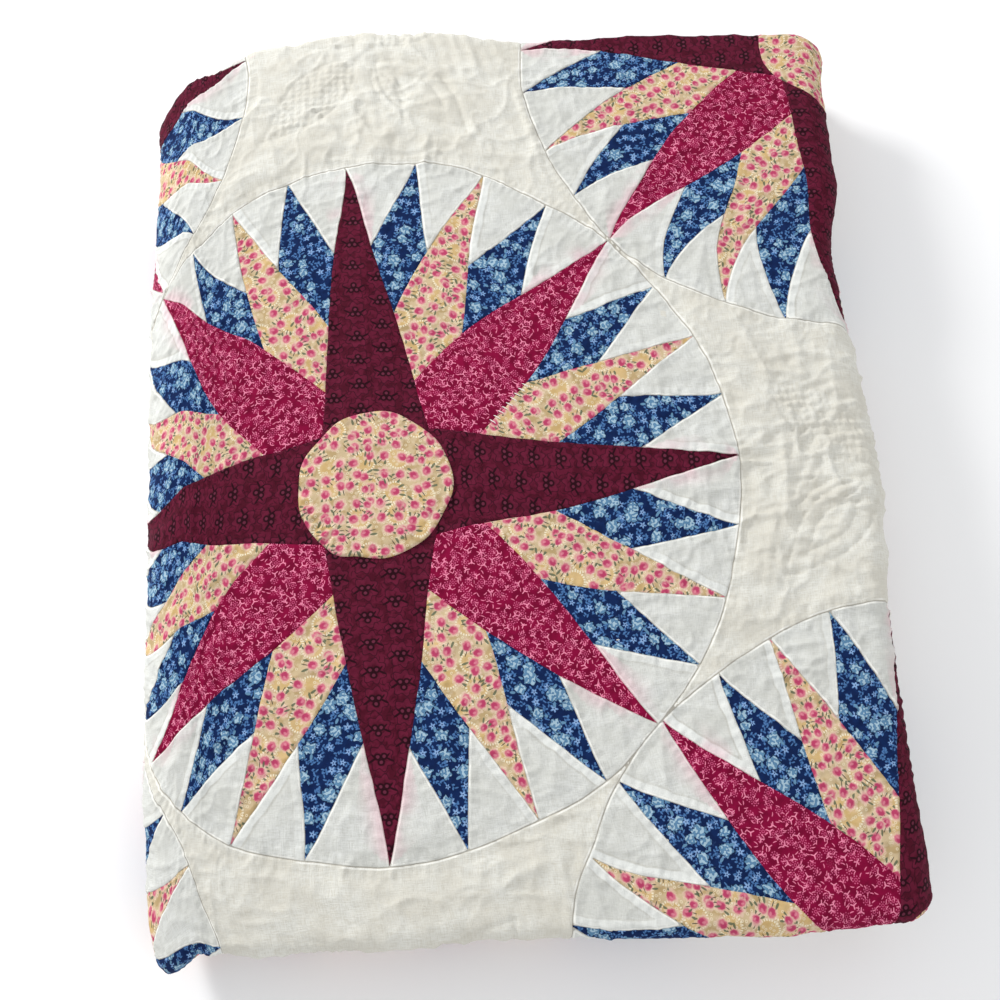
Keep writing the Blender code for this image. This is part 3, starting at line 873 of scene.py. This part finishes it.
class Paint:
    """A cloth material whose print is painted on layer by layer."""

    def __init__(self, name, ground):
        self.material = bpy.data.materials.new(name)
        self.material.use_nodes = True
        self.tree = self.material.node_tree
        self.shader = self.tree.nodes["Principled BSDF"]
        self.shader.inputs["Roughness"].default_value = 0.92
        self.shader.inputs["Specular IOR Level"].default_value = 0.15
        self.colour = colour_of(*ground)
        uv = self.tree.nodes.new("ShaderNodeUVMap")
        uv.uv_map = "print"
        parts = add_node(self.tree, "SeparateXYZ", {0: uv.outputs["UV"]})
        self.x, self.y = (Signal(self.tree, parts.outputs[k]) * 1000 for k in (0, 1))

    def attribute(self, name):
        """A number that the mesh has at each vertex."""
        node = self.tree.nodes.new("ShaderNodeAttribute")
        node.attribute_name = name
        return Signal(self.tree, node.outputs["Fac"])

    def join(self, x, y):
        return add_node(self.tree, "CombineXYZ", {0: x, 1: y}).outputs[0]

    def mottle(self, size_x, size_y, detail=2.0, shift=0.0):
        """Soft random patches from 0 to 1, of given sizes in millimetres."""
        where = self.join(self.x / size_x + shift, self.y / size_y + shift)
        node = add_node(self.tree, "TexNoise", {"Vector": where, "Scale": 1.0, "Detail": detail})
        node.noise_dimensions = "2D"
        return Signal(self.tree, node.outputs["Fac"])

    def spots(self, pitch, shift, scatter=0.8):
        """Scattered motifs: places from the nearest one's middle, turned as it is, and two random numbers."""
        x = self.x + shift
        y = self.y + shift * 0.618
        node = add_node(self.tree, "TexVoronoi", {"Vector": self.join(x, y), "Scale": 1 / pitch,
                                                  "Randomness": scatter})
        node.voronoi_dimensions = "2D"
        middle = add_node(self.tree, "SeparateXYZ", {0: node.outputs["Position"]})
        chance = add_node(self.tree, "SeparateColor", {0: node.outputs["Color"]})
        away_x = x - Signal(self.tree, middle.outputs[0])
        away_y = y - Signal(self.tree, middle.outputs[1])
        first, second, third = (Signal(self.tree, chance.outputs[k]) for k in range(3))
        angle = first * math.tau
        cos, sin = angle.math("COSINE"), angle.math("SINE")
        return away_x * cos + away_y * sin, away_y * cos - away_x * sin, second, third

    def spread(self, mask, colour):
        """Paints a colour where the mask is 1."""
        node = self.tree.nodes.new("ShaderNodeMix")
        node.data_type = "RGBA"
        self.tree.links.new(mask.socket, node.inputs["Factor"])
        if isinstance(self.colour, tuple):
            node.inputs[MIX_UNDER].default_value = self.colour
        else:
            self.tree.links.new(self.colour, node.inputs[MIX_UNDER])
        node.inputs[MIX_OVER].default_value = colour_of(*colour)
        self.colour = node.outputs[MIX_RESULT]

    def done(self, weave=0.25, depth=0.00012):
        """Joins the print to the shader, with the bumps of the weave."""
        threads = self.mottle(0.35, 2.6, 1.0) + self.mottle(2.6, 0.35, 1.0, 7.0)
        bump = add_node(self.tree, "Bump", {"Strength": weave, "Distance": depth * 2, "Height": threads})
        self.tree.links.new(self.colour, self.shader.inputs["Base Color"])
        self.tree.links.new(bump.outputs["Normal"], self.shader.inputs["Normal"])
        return self.material


def polar(a, b):
    """How far a place is from a motif's middle, and in which direction."""
    return (a * a + b * b).math("SQRT"), b.math("ARCTAN2", a)


def oval(a, b, middle_a, middle_b, half_a, half_b):
    """How many half widths a place is from an oval's middle: 1 at its edge."""
    across = (a - middle_a) / half_a
    away = (b - middle_b) / half_b
    return (across * across + away * away).math("SQRT")


def flower(a, b, petals, radius, depth):
    """How many radii a place is from a flower's middle: 1 at its petals' edge."""
    reach, angle = polar(a, b)
    return reach / (((angle * petals).math("COSINE") * depth + (1 - depth)) * radius)


def floral_print():
    """Tan cotton with soft rose-pink buds in pale halos, olive leaves and cream rings of dots."""
    paint = Paint("floral_calico", (179, 154, 112))
    paint.spread(paint.mottle(6, 6).above(0.50, 0.2) * 0.8, (201, 180, 145))
    a, b, _, _ = paint.spots(19.0, 7.0, 0.5)
    radius, turn = polar(a, b)
    beads = (turn * 26).math("COSINE").above(-0.2, 0.8)
    paint.spread(radius.below(6.4, 0.6) * 0.6, (206, 172, 112))
    paint.spread(beads * radius.apart(6.4).below(0.62, 0.4) * 0.9, (232, 222, 196))
    a, b, chance, _ = paint.spots(2.4, 3.0)
    ring = oval(a, b, 0, 0, 0.72, 0.72).apart(0.85)
    paint.spread(ring.below(0.34, 0.3) * chance.above(0.6, 0.1) * 0.7, (226, 212, 182))
    for pitch, shift, size, share in ((9.2, 0.0, 1.15, 0.05), (8.6, 41.0, 0.95, 0.70)):
        a, b, chance, _ = paint.spots(pitch, shift, 0.60)
        present = chance.above(share, 0.02)
        ragged = (paint.mottle(1.5, 1.5, 1.0) - 0.5) * 0.9
        halo = oval(a, b, 0, 0, 3.6 * size, 3.3 * size) + ragged
        paint.spread(halo.below(1.0, 0.5) * present * 0.7, (222, 192, 172))
        for side in (-1, 1):
            vein = oval(a, b - a * side * 0.3, 3.6 * size, side * 1.4 * size, 1.8 * size, 0.66 * size)
            paint.spread(vein.below(1.0, 0.35) * present * 0.9, (88, 98, 76))
        stalk = oval(a, b + a * 0.25, 4.0 * size, 0.8, 1.8 * size, 0.30)
        paint.spread(stalk.below(1.0, 0.5) * present * 0.9, (60, 60, 52))
        bud = oval(a, b, 0, 0, 2.5 * size, 2.2 * size) + ragged * 0.5
        paint.spread(bud.below(1.0, 0.5) * present * 0.9, (196, 94, 120))
        heart = oval(a, b, 0.5 * size, -0.2 * size, 1.7 * size, 1.5 * size) + ragged * 0.6
        paint.spread(heart.below(1.0, 0.5) * present * 0.85, (174, 50, 92))
        light = oval(a, b, -0.5 * size, 0.5 * size, 0.9 * size, 0.6 * size)
        paint.spread(light.below(1.0, 0.8) * present * 0.6, (222, 144, 156))
    return paint.done()


def blue_print():
    """Navy cotton with pale blue roses, small five-petalled flowers, sprigs and leaves."""
    paint = Paint("blue_calico", (8, 29, 70))
    paint.spread(paint.mottle(4, 4).above(0.5, 0.3) * 0.4, (13, 42, 92))
    for pitch, shift, bend in ((5.0, 2.0, 0.12), (6.2, 17.0, -0.10)):
        a, b, chance, _ = paint.spots(pitch, shift, 0.85)
        present = chance.above(0.20, 0.02)
        b = b - a * a * bend
        paint.spread(oval(a, b, 0, 0, 2.0, 0.22).below(1.0, 0.4) * present, (56, 94, 142))
        for at, side in ((-1.1, 1), (0.1, -1), (1.2, 1)):
            leaflet = oval(a - b * side * 0.5, b, at, side * 0.85, 0.58, 0.72)
            paint.spread(leaflet.below(1.0, 0.3) * present, (72, 112, 162))
    a, b, chance, other = paint.spots(6.8, 9.0, 0.80)
    present = chance.above(0.32, 0.02)
    star = flower(a, b, 5, 2.2, 0.30) / (other * 0.5 + 0.70)
    paint.spread(star.below(1.0, 0.2) * present, (98, 136, 186))
    paint.spread(star.below(0.65, 0.5) * present * 0.7, (152, 180, 212))
    paint.spread(oval(a, b, 0, 0, 0.42, 0.42).below(1.0, 0.4) * present, (26, 52, 102))
    a, b, chance, other = paint.spots(12.0, 31.0, 0.80)
    present = chance.above(0.10, 0.02)
    ragged = paint.mottle(2.2, 2.2, 1.0, 4.0) - 0.5
    petals = paint.mottle(1.7, 1.7, 0.0, 9.0)
    rose = (flower(a, b, 5, 3.9, 0.10) + ragged * 0.9) / (other * 0.35 + 0.80)
    paint.spread(rose.below(1.16, 0.15) * present, (8, 24, 58))
    paint.spread(rose.below(1.0, 0.15) * present, (90, 130, 162))
    paint.spread(rose.below(0.90, 0.2) * petals.above(0.52, 0.10) * present * 0.9, (164, 190, 204))
    paint.spread(rose.below(0.88, 0.2) * petals.apart(0.46).below(0.035, 0.04) * present * 0.8, (56, 92, 134))
    for side in (-1, 1):
        leaflet = oval(a, b - a * side * 0.2, side * 5.0, 1.5 * side, 1.6, 0.8)
        paint.spread(leaflet.below(1.0, 0.3) * present, (96, 136, 166))
    return paint.done()


def burgundy_print():
    """Burgundy cotton with staggered dark trefoil sprigs in scallops, over fine dark veins."""
    paint = Paint("burgundy_calico", (73, 10, 31))
    paint.spread(paint.mottle(6, 6).above(0.50, 0.2) * 0.7, (99, 22, 48))
    for pitch, shift, curve in ((4.4, 4.0, 0.22), (5.6, 19.0, -0.18)):
        a, b, _, _ = paint.spots(pitch, shift, 0.7)
        paint.spread(oval(a, b - a * a * curve, 0, 0, 2.1, 0.34).below(1.0, 0.45) * 0.7, (50, 5, 20))
    for moved in (0.0, 0.5):
        a = ((paint.x / 33.0 + moved).math("FRACT") - 0.5) * 33.0
        b = ((paint.y / 16.2 + moved).math("FRACT") - 0.5) * 16.2
        scallop = flower(a, b, 7, 7.8, 0.13)
        paint.spread(scallop.below(1.0, 0.1) * scallop.above(0.55, 0.4) * 0.5, (103, 26, 52))
        paint.spread(scallop.apart(1.0).below(0.045, 0.05) * 0.85, (50, 6, 24))
        for turn in (90, 210, 330):
            middle_a = 2.1 * math.cos(math.radians(turn))
            middle_b = 2.1 * math.sin(math.radians(turn)) + 0.3
            paint.spread(oval(a, b, middle_a, middle_b, 2.15, 2.0).below(1.0, 0.4), (36, 2, 14))
            paint.spread(oval(a, b, middle_a, middle_b, 1.0, 0.95).below(1.0, 0.6), (98, 38, 58))
        for side in (-1, 1):
            paint.spread(oval(a, b - a * side * 0.5, side * 5.0, -1.4, 2.4, 0.7).below(1.0, 0.4), (38, 3, 16))
            paint.spread(oval(a, b + a * side * 0.9, side * 3.8, 2.4, 1.5, 0.7).below(1.0, 0.4), (38, 3, 16))
    return paint.done()


def raspberry_print():
    """Raspberry cotton with fine pale strokes, forks and daisies of dots."""
    paint = Paint("raspberry_calico", (130, 2, 53))
    paint.spread(paint.mottle(7, 7).above(0.5, 0.3) * 0.7, (104, 0, 39))
    a, b, chance, _ = paint.spots(6.0, 11.0, 0.7)
    present = chance.above(0.08, 0.02)
    radius, turn = polar(a, b)
    dots = (turn * 8).math("COSINE").above(0.1, 0.7) * radius.apart(1.9).below(0.34, 0.3)
    paint.spread(dots * present * 0.9, (206, 94, 134))
    paint.spread(radius.apart(0.75).below(0.24, 0.2) * present * 0.8, (194, 80, 120))
    for pitch, shift in ((3.9, 1.0), (4.7, 23.0)):
        a, b, chance, _ = paint.spots(pitch, shift, 0.9)
        stroke = oval(a, b - a * a * 0.12, 0, 0, 1.25, 0.28).below(1.0, 0.35)
        paint.spread(stroke * chance.above(0.34, 0.02), (224, 124, 154))
    a, b, chance, _ = paint.spots(6.6, 37.0, 0.8)
    radius, turn = polar(a, b)
    fork = ((turn * 1.5).math("SINE").math("ABSOLUTE") * radius).below(0.42, 0.2)
    ends = oval(a, b, 0, 0, 2.1, 2.1).below(1.0, 0.2)
    paint.spread(fork * ends * chance.above(0.45, 0.02), (230, 136, 164))
    return paint.done()


def plain_cotton(name, ground, light, dull, banded):
    """Undyed or white plain-weave cotton, with slubs, seam bands with a painted shade line at their inner
    edge, a painted highlight and a painted shade line along the seams, and a pink bleed beside the red
    patches.
    """
    paint = Paint(name, ground)
    slubs = (paint.mottle(0.5, 7.0, 2.0) + paint.mottle(7.0, 0.5, 2.0, 5.0)) * 0.5
    paint.spread(slubs.above(0.52, 0.22) * 0.6, light)
    paint.spread(slubs.below(0.45, 0.2) * 0.6, dull)
    paint.spread(paint.mottle(30, 24).above(0.5, 0.4) * 0.5, dull)
    seam = paint.attribute("seam") * 1000
    if banded:
        edge = paint.attribute("side") * 1000 + (paint.mottle(12, 12, 1.0, 9.0) - 0.5) * 2.6
        band = paint.attribute("band")
        paint.spread(edge.below(5.2, 1.0) * band * 0.75, (232, 234, 230))
        # Painted shade: a grey line along the band's inner edge, where the cloth dips at the quilted line
        paint.spread(edge.apart(5.9).below(0.5, 0.8) * band * 0.35, (176, 172, 160))
    # Painted highlight: a thin bright line just beside each seam, where the turned fold edge catches the
    # light, in soft patches
    painted_highlight_patches = paint.mottle(14, 14, 1.0, 2.0).above(0.45, 0.2)
    paint.spread(seam.apart(0.95).below(0.45, 0.4) * painted_highlight_patches * 0.8, (244, 243, 236))
    # Painted shade: a dark line in the ditch along each seam
    paint.spread(seam.below(0.34, 0.35) * 0.60, (150, 142, 128))
    bleed = paint.attribute("red") * paint.mottle(26, 26, 2.0, 3.0).above(0.48, 0.30)
    paint.spread(bleed * 0.40, (230, 168, 184))
    return paint.done(weave=0.6, depth=0.0002)


def plain_material(name, colour, roughness):
    """A material of one colour."""
    material = bpy.data.materials.new(name)
    material.use_nodes = True
    shader = material.node_tree.nodes["Principled BSDF"]
    shader.inputs["Base Color"].default_value = colour
    shader.inputs["Roughness"].default_value = roughness
    return material


MUSLIN_CLOTH = plain_cotton("quilt_cloth", (219, 218, 209), (229, 228, 220), (204, 199, 185), False)
WHITE_CLOTH = plain_cotton("white_cotton", (213, 214, 209), (224, 225, 221), (198, 198, 190), True)
FLORAL_CLOTH = floral_print()

# The fabrics. Columns: the piece's name, its slot, its material
FABRICS = {MUSLIN: ("muslin", "quilt_cloth", MUSLIN_CLOTH),
           WHITE: ("white_wedges", "white_cotton", WHITE_CLOTH),
           BLUE: ("blue_points", "blue_calico", blue_print()),
           FLORAL: ("floral_points", "floral_calico", FLORAL_CLOTH),
           RASPBERRY: ("raspberry_points", "raspberry_calico", raspberry_print()),
           BURGUNDY: ("burgundy_points", "burgundy_calico", burgundy_print())}


def home_of_block():
    """The middle of the folded block's footprint, from its outer side's places."""
    grid_u, grid_v = np.meshgrid(np.linspace(U_START, U_END, 900), np.linspace(V_LOWER_END, V_TOP_END, 300))
    points = place(grid_u.ravel(), grid_v.ravel(), np.zeros(grid_u.size))
    low, high = points.min(0), points.max(0)
    return np.array([(low[0] + high[0]) / 2, (low[1] + high[1]) / 2, 0.0])


HOME = home_of_block()


def finish_piece(thing, material):
    """Gives a piece its material and its body."""
    thing.data.materials.append(material)
    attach(thing, "root")
    return thing


def quilting_over(stretch):
    """The quilted lines of every gap between compasses in a stretch of cloth."""
    lines = []
    for i in range(-4, 4):
        for j in range(-4, 4):
            u, v = MAIN_U + i * LATTICE, MAIN_V + j * LATTICE
            if (i + j) % 2 and within(stretch, u, v, 0.1):
                lines.extend(gap_quilting(u, v))
    return lines


def build_patchwork(suffix, stretches_of_cloth, size, deepest):
    """The patches over some stretches of cloth, as one piece for each fabric."""
    nets = []
    for stretch in stretches_of_cloth:
        flat, triangles, fabric, patch, seams, numbers = cloth_net(stretch, size)
        fine, marks = fine_relief(flat, seams, quilting_over(stretch), numbers)
        at_u, at_v = pulled(flat[:, 0], flat[:, 1])
        points = place(at_u, at_v, LIFT + broad_relief(at_u, at_v) + np.maximum(fine, deepest)) - HOME
        points[:, 2] = np.maximum(points[:, 2], FLOOR_GAP)
        nets.append((flat, triangles, fabric, patch, points, marks))
    made = []
    for fabric, (name, slot, material) in FABRICS.items():
        parts = [(flat, triangles[kinds == fabric], patch[kinds == fabric], points, marks)
                 for flat, triangles, kinds, patch, points, marks in nets if (kinds == fabric).any()]
        if not parts:
            continue
        starts = np.cumsum([0] + [len(part[3]) for part in parts])
        corners = np.concatenate([part[1] + start for part, start in zip(parts, starts)])
        thing, used = mesh_object(name + suffix, np.concatenate([part[3] for part in parts]), corners)
        set_print(thing, np.concatenate([print_places(*part[:3]).reshape(-1, 2) for part in parts]))
        for mark in MARKS:
            set_mark(thing, mark, np.concatenate([part[4][mark] for part in parts])[used])
        made.append(finish_piece(thing, material))
    return made


def fold_steps(rows, fine_start, last):
    """Places along a fold, close on the stretch that shows and round the bends."""
    parts = []
    for low, high, *_ in rows:
        size = 0.009 if low == fine_start else 0.022
        parts.append(np.linspace(low, high, max(int((high - low) / size), 11), endpoint=False))
    return np.concatenate(parts + [[last]])


def build_body():
    """The folded cloth under the patches, from free end to free end, with both its sides."""
    u = fold_steps(PATH, U_LEFT, U_END)
    low, high = U_BOTTOM_LEFT - 0.055, U_LEFT + 0.055
    u = np.sort(np.concatenate([u[(u < low) | (u > high)], np.arange(low + 0.002, high, 0.0045)]))
    v = fold_steps(SECTION, V_NEAR, V_UPPER_EDGE)
    half = len(v)
    count = 2 * half
    grid_u, grid_v = (grid.ravel() for grid in np.meshgrid(u, v, indexing="ij"))
    relief = broad_relief(grid_u, grid_v)
    outer, inner = (place(grid_u, grid_v, relief - depth).reshape(len(u), half, 3) - HOME
                    for depth in (BODY_SUNK, CLOTH))
    points = np.concatenate([outer, inner[:, ::-1]], 1)
    number = np.arange(len(u) * count).reshape(len(u), count)
    after = np.roll(number, -1, axis=1)
    a, b, c, d = number[:-1].ravel(), after[:-1].ravel(), after[1:].ravel(), number[1:].ravel()
    triangles = [np.stack([a, b, c], 1), np.stack([a, c, d], 1)]
    for ring, flip in ((number[0], True), (number[-1], False)):
        for k in range(half - 1):
            a, b, c, d = ring[k], ring[k + 1], ring[count - 2 - k], ring[count - 1 - k]
            faces = np.array([(a, b, c), (a, c, d)])
            triangles.append(faces[:, ::-1] if flip else faces)
    thing, used = mesh_object("quilt_body", points.reshape(-1, 3), np.concatenate(triangles))
    places = np.zeros((len(u), count, 2))
    places[..., 0] = u[:, None]
    places[..., 1] = np.concatenate([v, v[::-1]])
    set_print(thing, at_corners(thing, places.reshape(-1, 2)[used]))
    set_mark(thing, "seam", np.ones(len(used)))
    return finish_piece(thing, MUSLIN_CLOTH)


def tube_faces(start, rings, sides):
    """Triangles between the rings of a tube, whose places are numbered ring by ring."""
    faces = []
    for first in range(start, start + (rings - 1) * sides, sides):
        for k in range(sides):
            a, b = first + k, first + (k + 1) % sides
            faces += [(a, b, b + sides), (a, b + sides, a + sides)]
    return faces


def build_disc():
    """The appliqued disc: its turned-under edge, its puckers and its soft middle."""
    theta = np.linspace(0, math.tau, DISC_SIDES, endpoint=False)
    outline = DISC_RADIUS * np.ones(DISC_SIDES)
    for waves, height, phase in DISC_WAVES:
        outline = outline + DISC_RADIUS * height * np.sin(waves * theta + phase)
    for turn, rise, reach in DISC_CORNERS:
        outline = outline + rise * bell(np.abs(theta - math.radians(turn)) / reach)
    gathered = bell(np.abs(theta - math.radians(DISC_GATHERED_AT)) / 1.4)
    levels = [*DISC_EDGE, *((share, DISC_TOP) for share in np.linspace(0.96, 0.02, 44))]
    points = []
    places = []
    for share, base in levels:
        x = outline * share * np.cos(theta)
        y = outline * share * np.sin(theta)
        inward = (1 - share) * DISC_RADIUS
        lift = np.full(DISC_SIDES, base)
        if base == DISC_TOP:
            lift = lift + 0.0006 * (1 - hill(inward, 0.010))
            lift = lift - 0.0008 * hill(inward - 0.0055, 0.0014) * (0.6 + 0.4 * np.cos(theta * 52))
            gathers = np.cos(theta * 23 + 2.5 * np.sin(theta * 3)) * hill(inward - 0.002, 0.006)
            lift = lift + 0.0004 * gathers
            folds = 1 + np.cos(theta * 41 + 3 * np.sin(theta * 5))
            lift = lift + 0.0006 * gathered * folds * hill(inward - 0.004, 0.005)
            lift = lift + 0.0006 * rumples(x, y, 0.014, 41) + 0.0005 * noise(x, y, 0.02, 43)
        points.append(place(MAIN_U + x, MAIN_V + y, lift) - HOME)
        places.append(np.stack([x, y], -1))
    for lift in (0.0026, -0.0002):
        points.append(place(np.array([MAIN_U]), np.array([MAIN_V]), np.array([lift])) - HOME)
    points = np.concatenate(points)
    triangles = tube_faces(0, len(levels), DISC_SIDES)
    last = (len(levels) - 1) * DISC_SIDES
    for k in range(DISC_SIDES):
        after = (k + 1) % DISC_SIDES
        triangles += [(last + k, last + after, len(points) - 2), (after, k, len(points) - 1)]
    thing, used = mesh_object("centre_disc_cloth", points, np.array(triangles))
    flat = np.concatenate(places + [np.zeros((2, 2))])
    set_print(thing, at_corners(thing, flat[used]) + DISC_PRINT_SHIFT)
    return finish_piece(thing, FLORAL_CLOTH)


def build_whip_stitches():
    """The white whip stitches along the raspberry point's lower right side."""
    main = next(compass for compass in COMPASSES if compass["name"] == "main")
    reach, angle, lean = main["tips"][45.0]
    rng = np.random.default_rng(9)
    points, triangles = [], []
    _, _, half_angle, shoulder, _ = POINTS[BESIDE_WHIP]
    for k in range(WHIP_STITCHES):
        outward = WHIP_START + k * WHIP_PITCH + rng.uniform(-0.0003, 0.0003)
        width, middle = point_shape(reach - outward, half_angle, shoulder, lean)
        slant = rng.uniform(-0.25, 0.15)
        outer = width + 0.0024 + rng.uniform(0, 0.0008)
        flat = np.array([from_axis(main["u"], main["v"], angle, outward + slip, aside + middle)
                         for aside, slip in ((width - 0.0013, -0.0006), (outer, 0.0006 + slant * 0.002))])
        at_u, at_v = pulled(flat[:, 0], flat[:, 1])
        start, end = place(at_u, at_v, LIFT + broad_relief(at_u, at_v) + 0.0006) - HOME
        way = (end - start) / np.linalg.norm(end - start)
        across = np.cross(way, (0, 0, 1))
        up = np.cross(across, way)
        triangles += tube_faces(len(points), len(STITCH_RINGS), STITCH_SIDES)
        for share, size in STITCH_RINGS:
            middle = start + (end - start) * share + up * 0.0005 * math.sin(math.pi * share)
            for side in range(STITCH_SIDES):
                turn = side / STITCH_SIDES * math.tau
                points.append(middle + (across * math.cos(turn) + up * math.sin(turn)) * THREAD * size)
    thing, _ = mesh_object("whip_stitches", np.array(points), np.array(triangles))
    return finish_piece(thing, plain_material("thread", colour_of(238, 234, 226), 0.8))


# The pieces. Stretches of cloth are u from, u to, v from, v to
U_UNDER = U_LEFT - math.pi * BIG_BEND * 0.94
NEAR_SIDE = (V_LOWER_FACE + 0.0006, V_NEAR + 0.003)
FAR_SIDE = (V_FAR - 0.003, V_TOP_END - 0.0004)
WHOLE_FACE = (NEAR_SIDE[0], FAR_SIDE[1])
TOP_CLOTH = ((U_UNDER, U_RIGHT + math.pi * SMALL_BEND * 0.97, *WHOLE_FACE),)
UNDER_CLOTH = ((U_LOWER, U_UNDER + 0.002, *WHOLE_FACE),
               (U_START, U_LOWER + 0.002, *NEAR_SIDE),
               (U_START, U_LOWER + 0.002, *FAR_SIDE),
               (U_INNER - 0.004, U_END, *NEAR_SIDE),
               (U_INNER - 0.004, U_END, *FAR_SIDE),
               (U_START, U_END, V_LOWER_END + 0.0004, V_LOWER_FAR + 0.002))
body = build_body()
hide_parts("quilt")
patches = build_patchwork("", TOP_CLOTH, FINE, DEEPEST_FINE)
patches += build_patchwork("_under", UNDER_CLOTH, COARSE, DEEPEST_COARSE)
disc = build_disc()
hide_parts("centre_disc")
stitches = build_whip_stitches()

# Floor, light and camera
floor_mesh = bpy.data.meshes.new("floor")
floor_mesh.from_pydata([(-4, -4, 0), (4, -4, 0), (4, 4, 0), (-4, 4, 0)], [], [(0, 1, 2, 3)])
floor = linked("floor", floor_mesh)
floor_mesh.materials.append(plain_material("floor", (0.97, 0.97, 0.97, 1), 0.9))

world = bpy.data.worlds.new("world")
world.use_nodes = True
world.node_tree.nodes["Background"].inputs["Color"].default_value = (0.97, 0.98, 1.0, 1)
world.node_tree.nodes["Background"].inputs["Strength"].default_value = 0.77
bpy.context.scene.world = world
bpy.context.scene.view_settings.view_transform = "Standard"


def soft_light(name, power, size, place_at, aim):
    """A square soft light, aimed at a place."""
    data = bpy.data.lights.new(name, "AREA")
    data.energy = power
    data.size = size
    thing = linked(name, data)
    thing.location = place_at
    thing.rotation_euler = (Vector(aim) - Vector(place_at)).to_track_quat("-Z", "Y").to_euler()


soft_light("key", 48, 0.7, (-1.7, 1.5, 1.15), (0.0, 0.0, 0.05))
soft_light("fill", 10, 2.0, (1.5, -1.2, 2.0), (0.0, 0.0, 0.05))

# The camera, from how the photograph shows the compass: angles in degrees, distances in metres
SPIN = math.radians(3.76)
TILT = math.radians(18.01)
ROLL = math.radians(1.15)
AIM = (-0.086, -0.024, 0.0707)
AIM_X = -0.0757
AIM_Y = 0.0107
DISTANCE = 0.723
LENS = 43.2
cos_spin, sin_spin = math.cos(SPIN), math.sin(SPIN)
side_row = Vector((cos_spin, -sin_spin, 0.0))
up_row = Vector((sin_spin * math.cos(TILT), cos_spin * math.cos(TILT), math.sin(TILT)))
back_row = Vector((-sin_spin * math.sin(TILT), -cos_spin * math.sin(TILT), math.cos(TILT)))
right_row = side_row * math.cos(ROLL) + back_row * math.sin(ROLL)
back_row = back_row * math.cos(ROLL) - side_row * math.sin(ROLL)
turned = Matrix((right_row, up_row, back_row)).transposed()
aim = Vector(AIM) - Vector(HOME)
camera_data = bpy.data.cameras.new("camera")
camera_data.lens = LENS
camera_data.sensor_width = 36.0
camera_data.clip_start = 0.01
camera = linked("camera", camera_data)
camera.matrix_world = Matrix.Translation(aim - turned @ Vector((AIM_X, AIM_Y, -DISTANCE))) @ turned.to_4x4()
bpy.context.scene.camera = camera

patches + [disc, stitches]
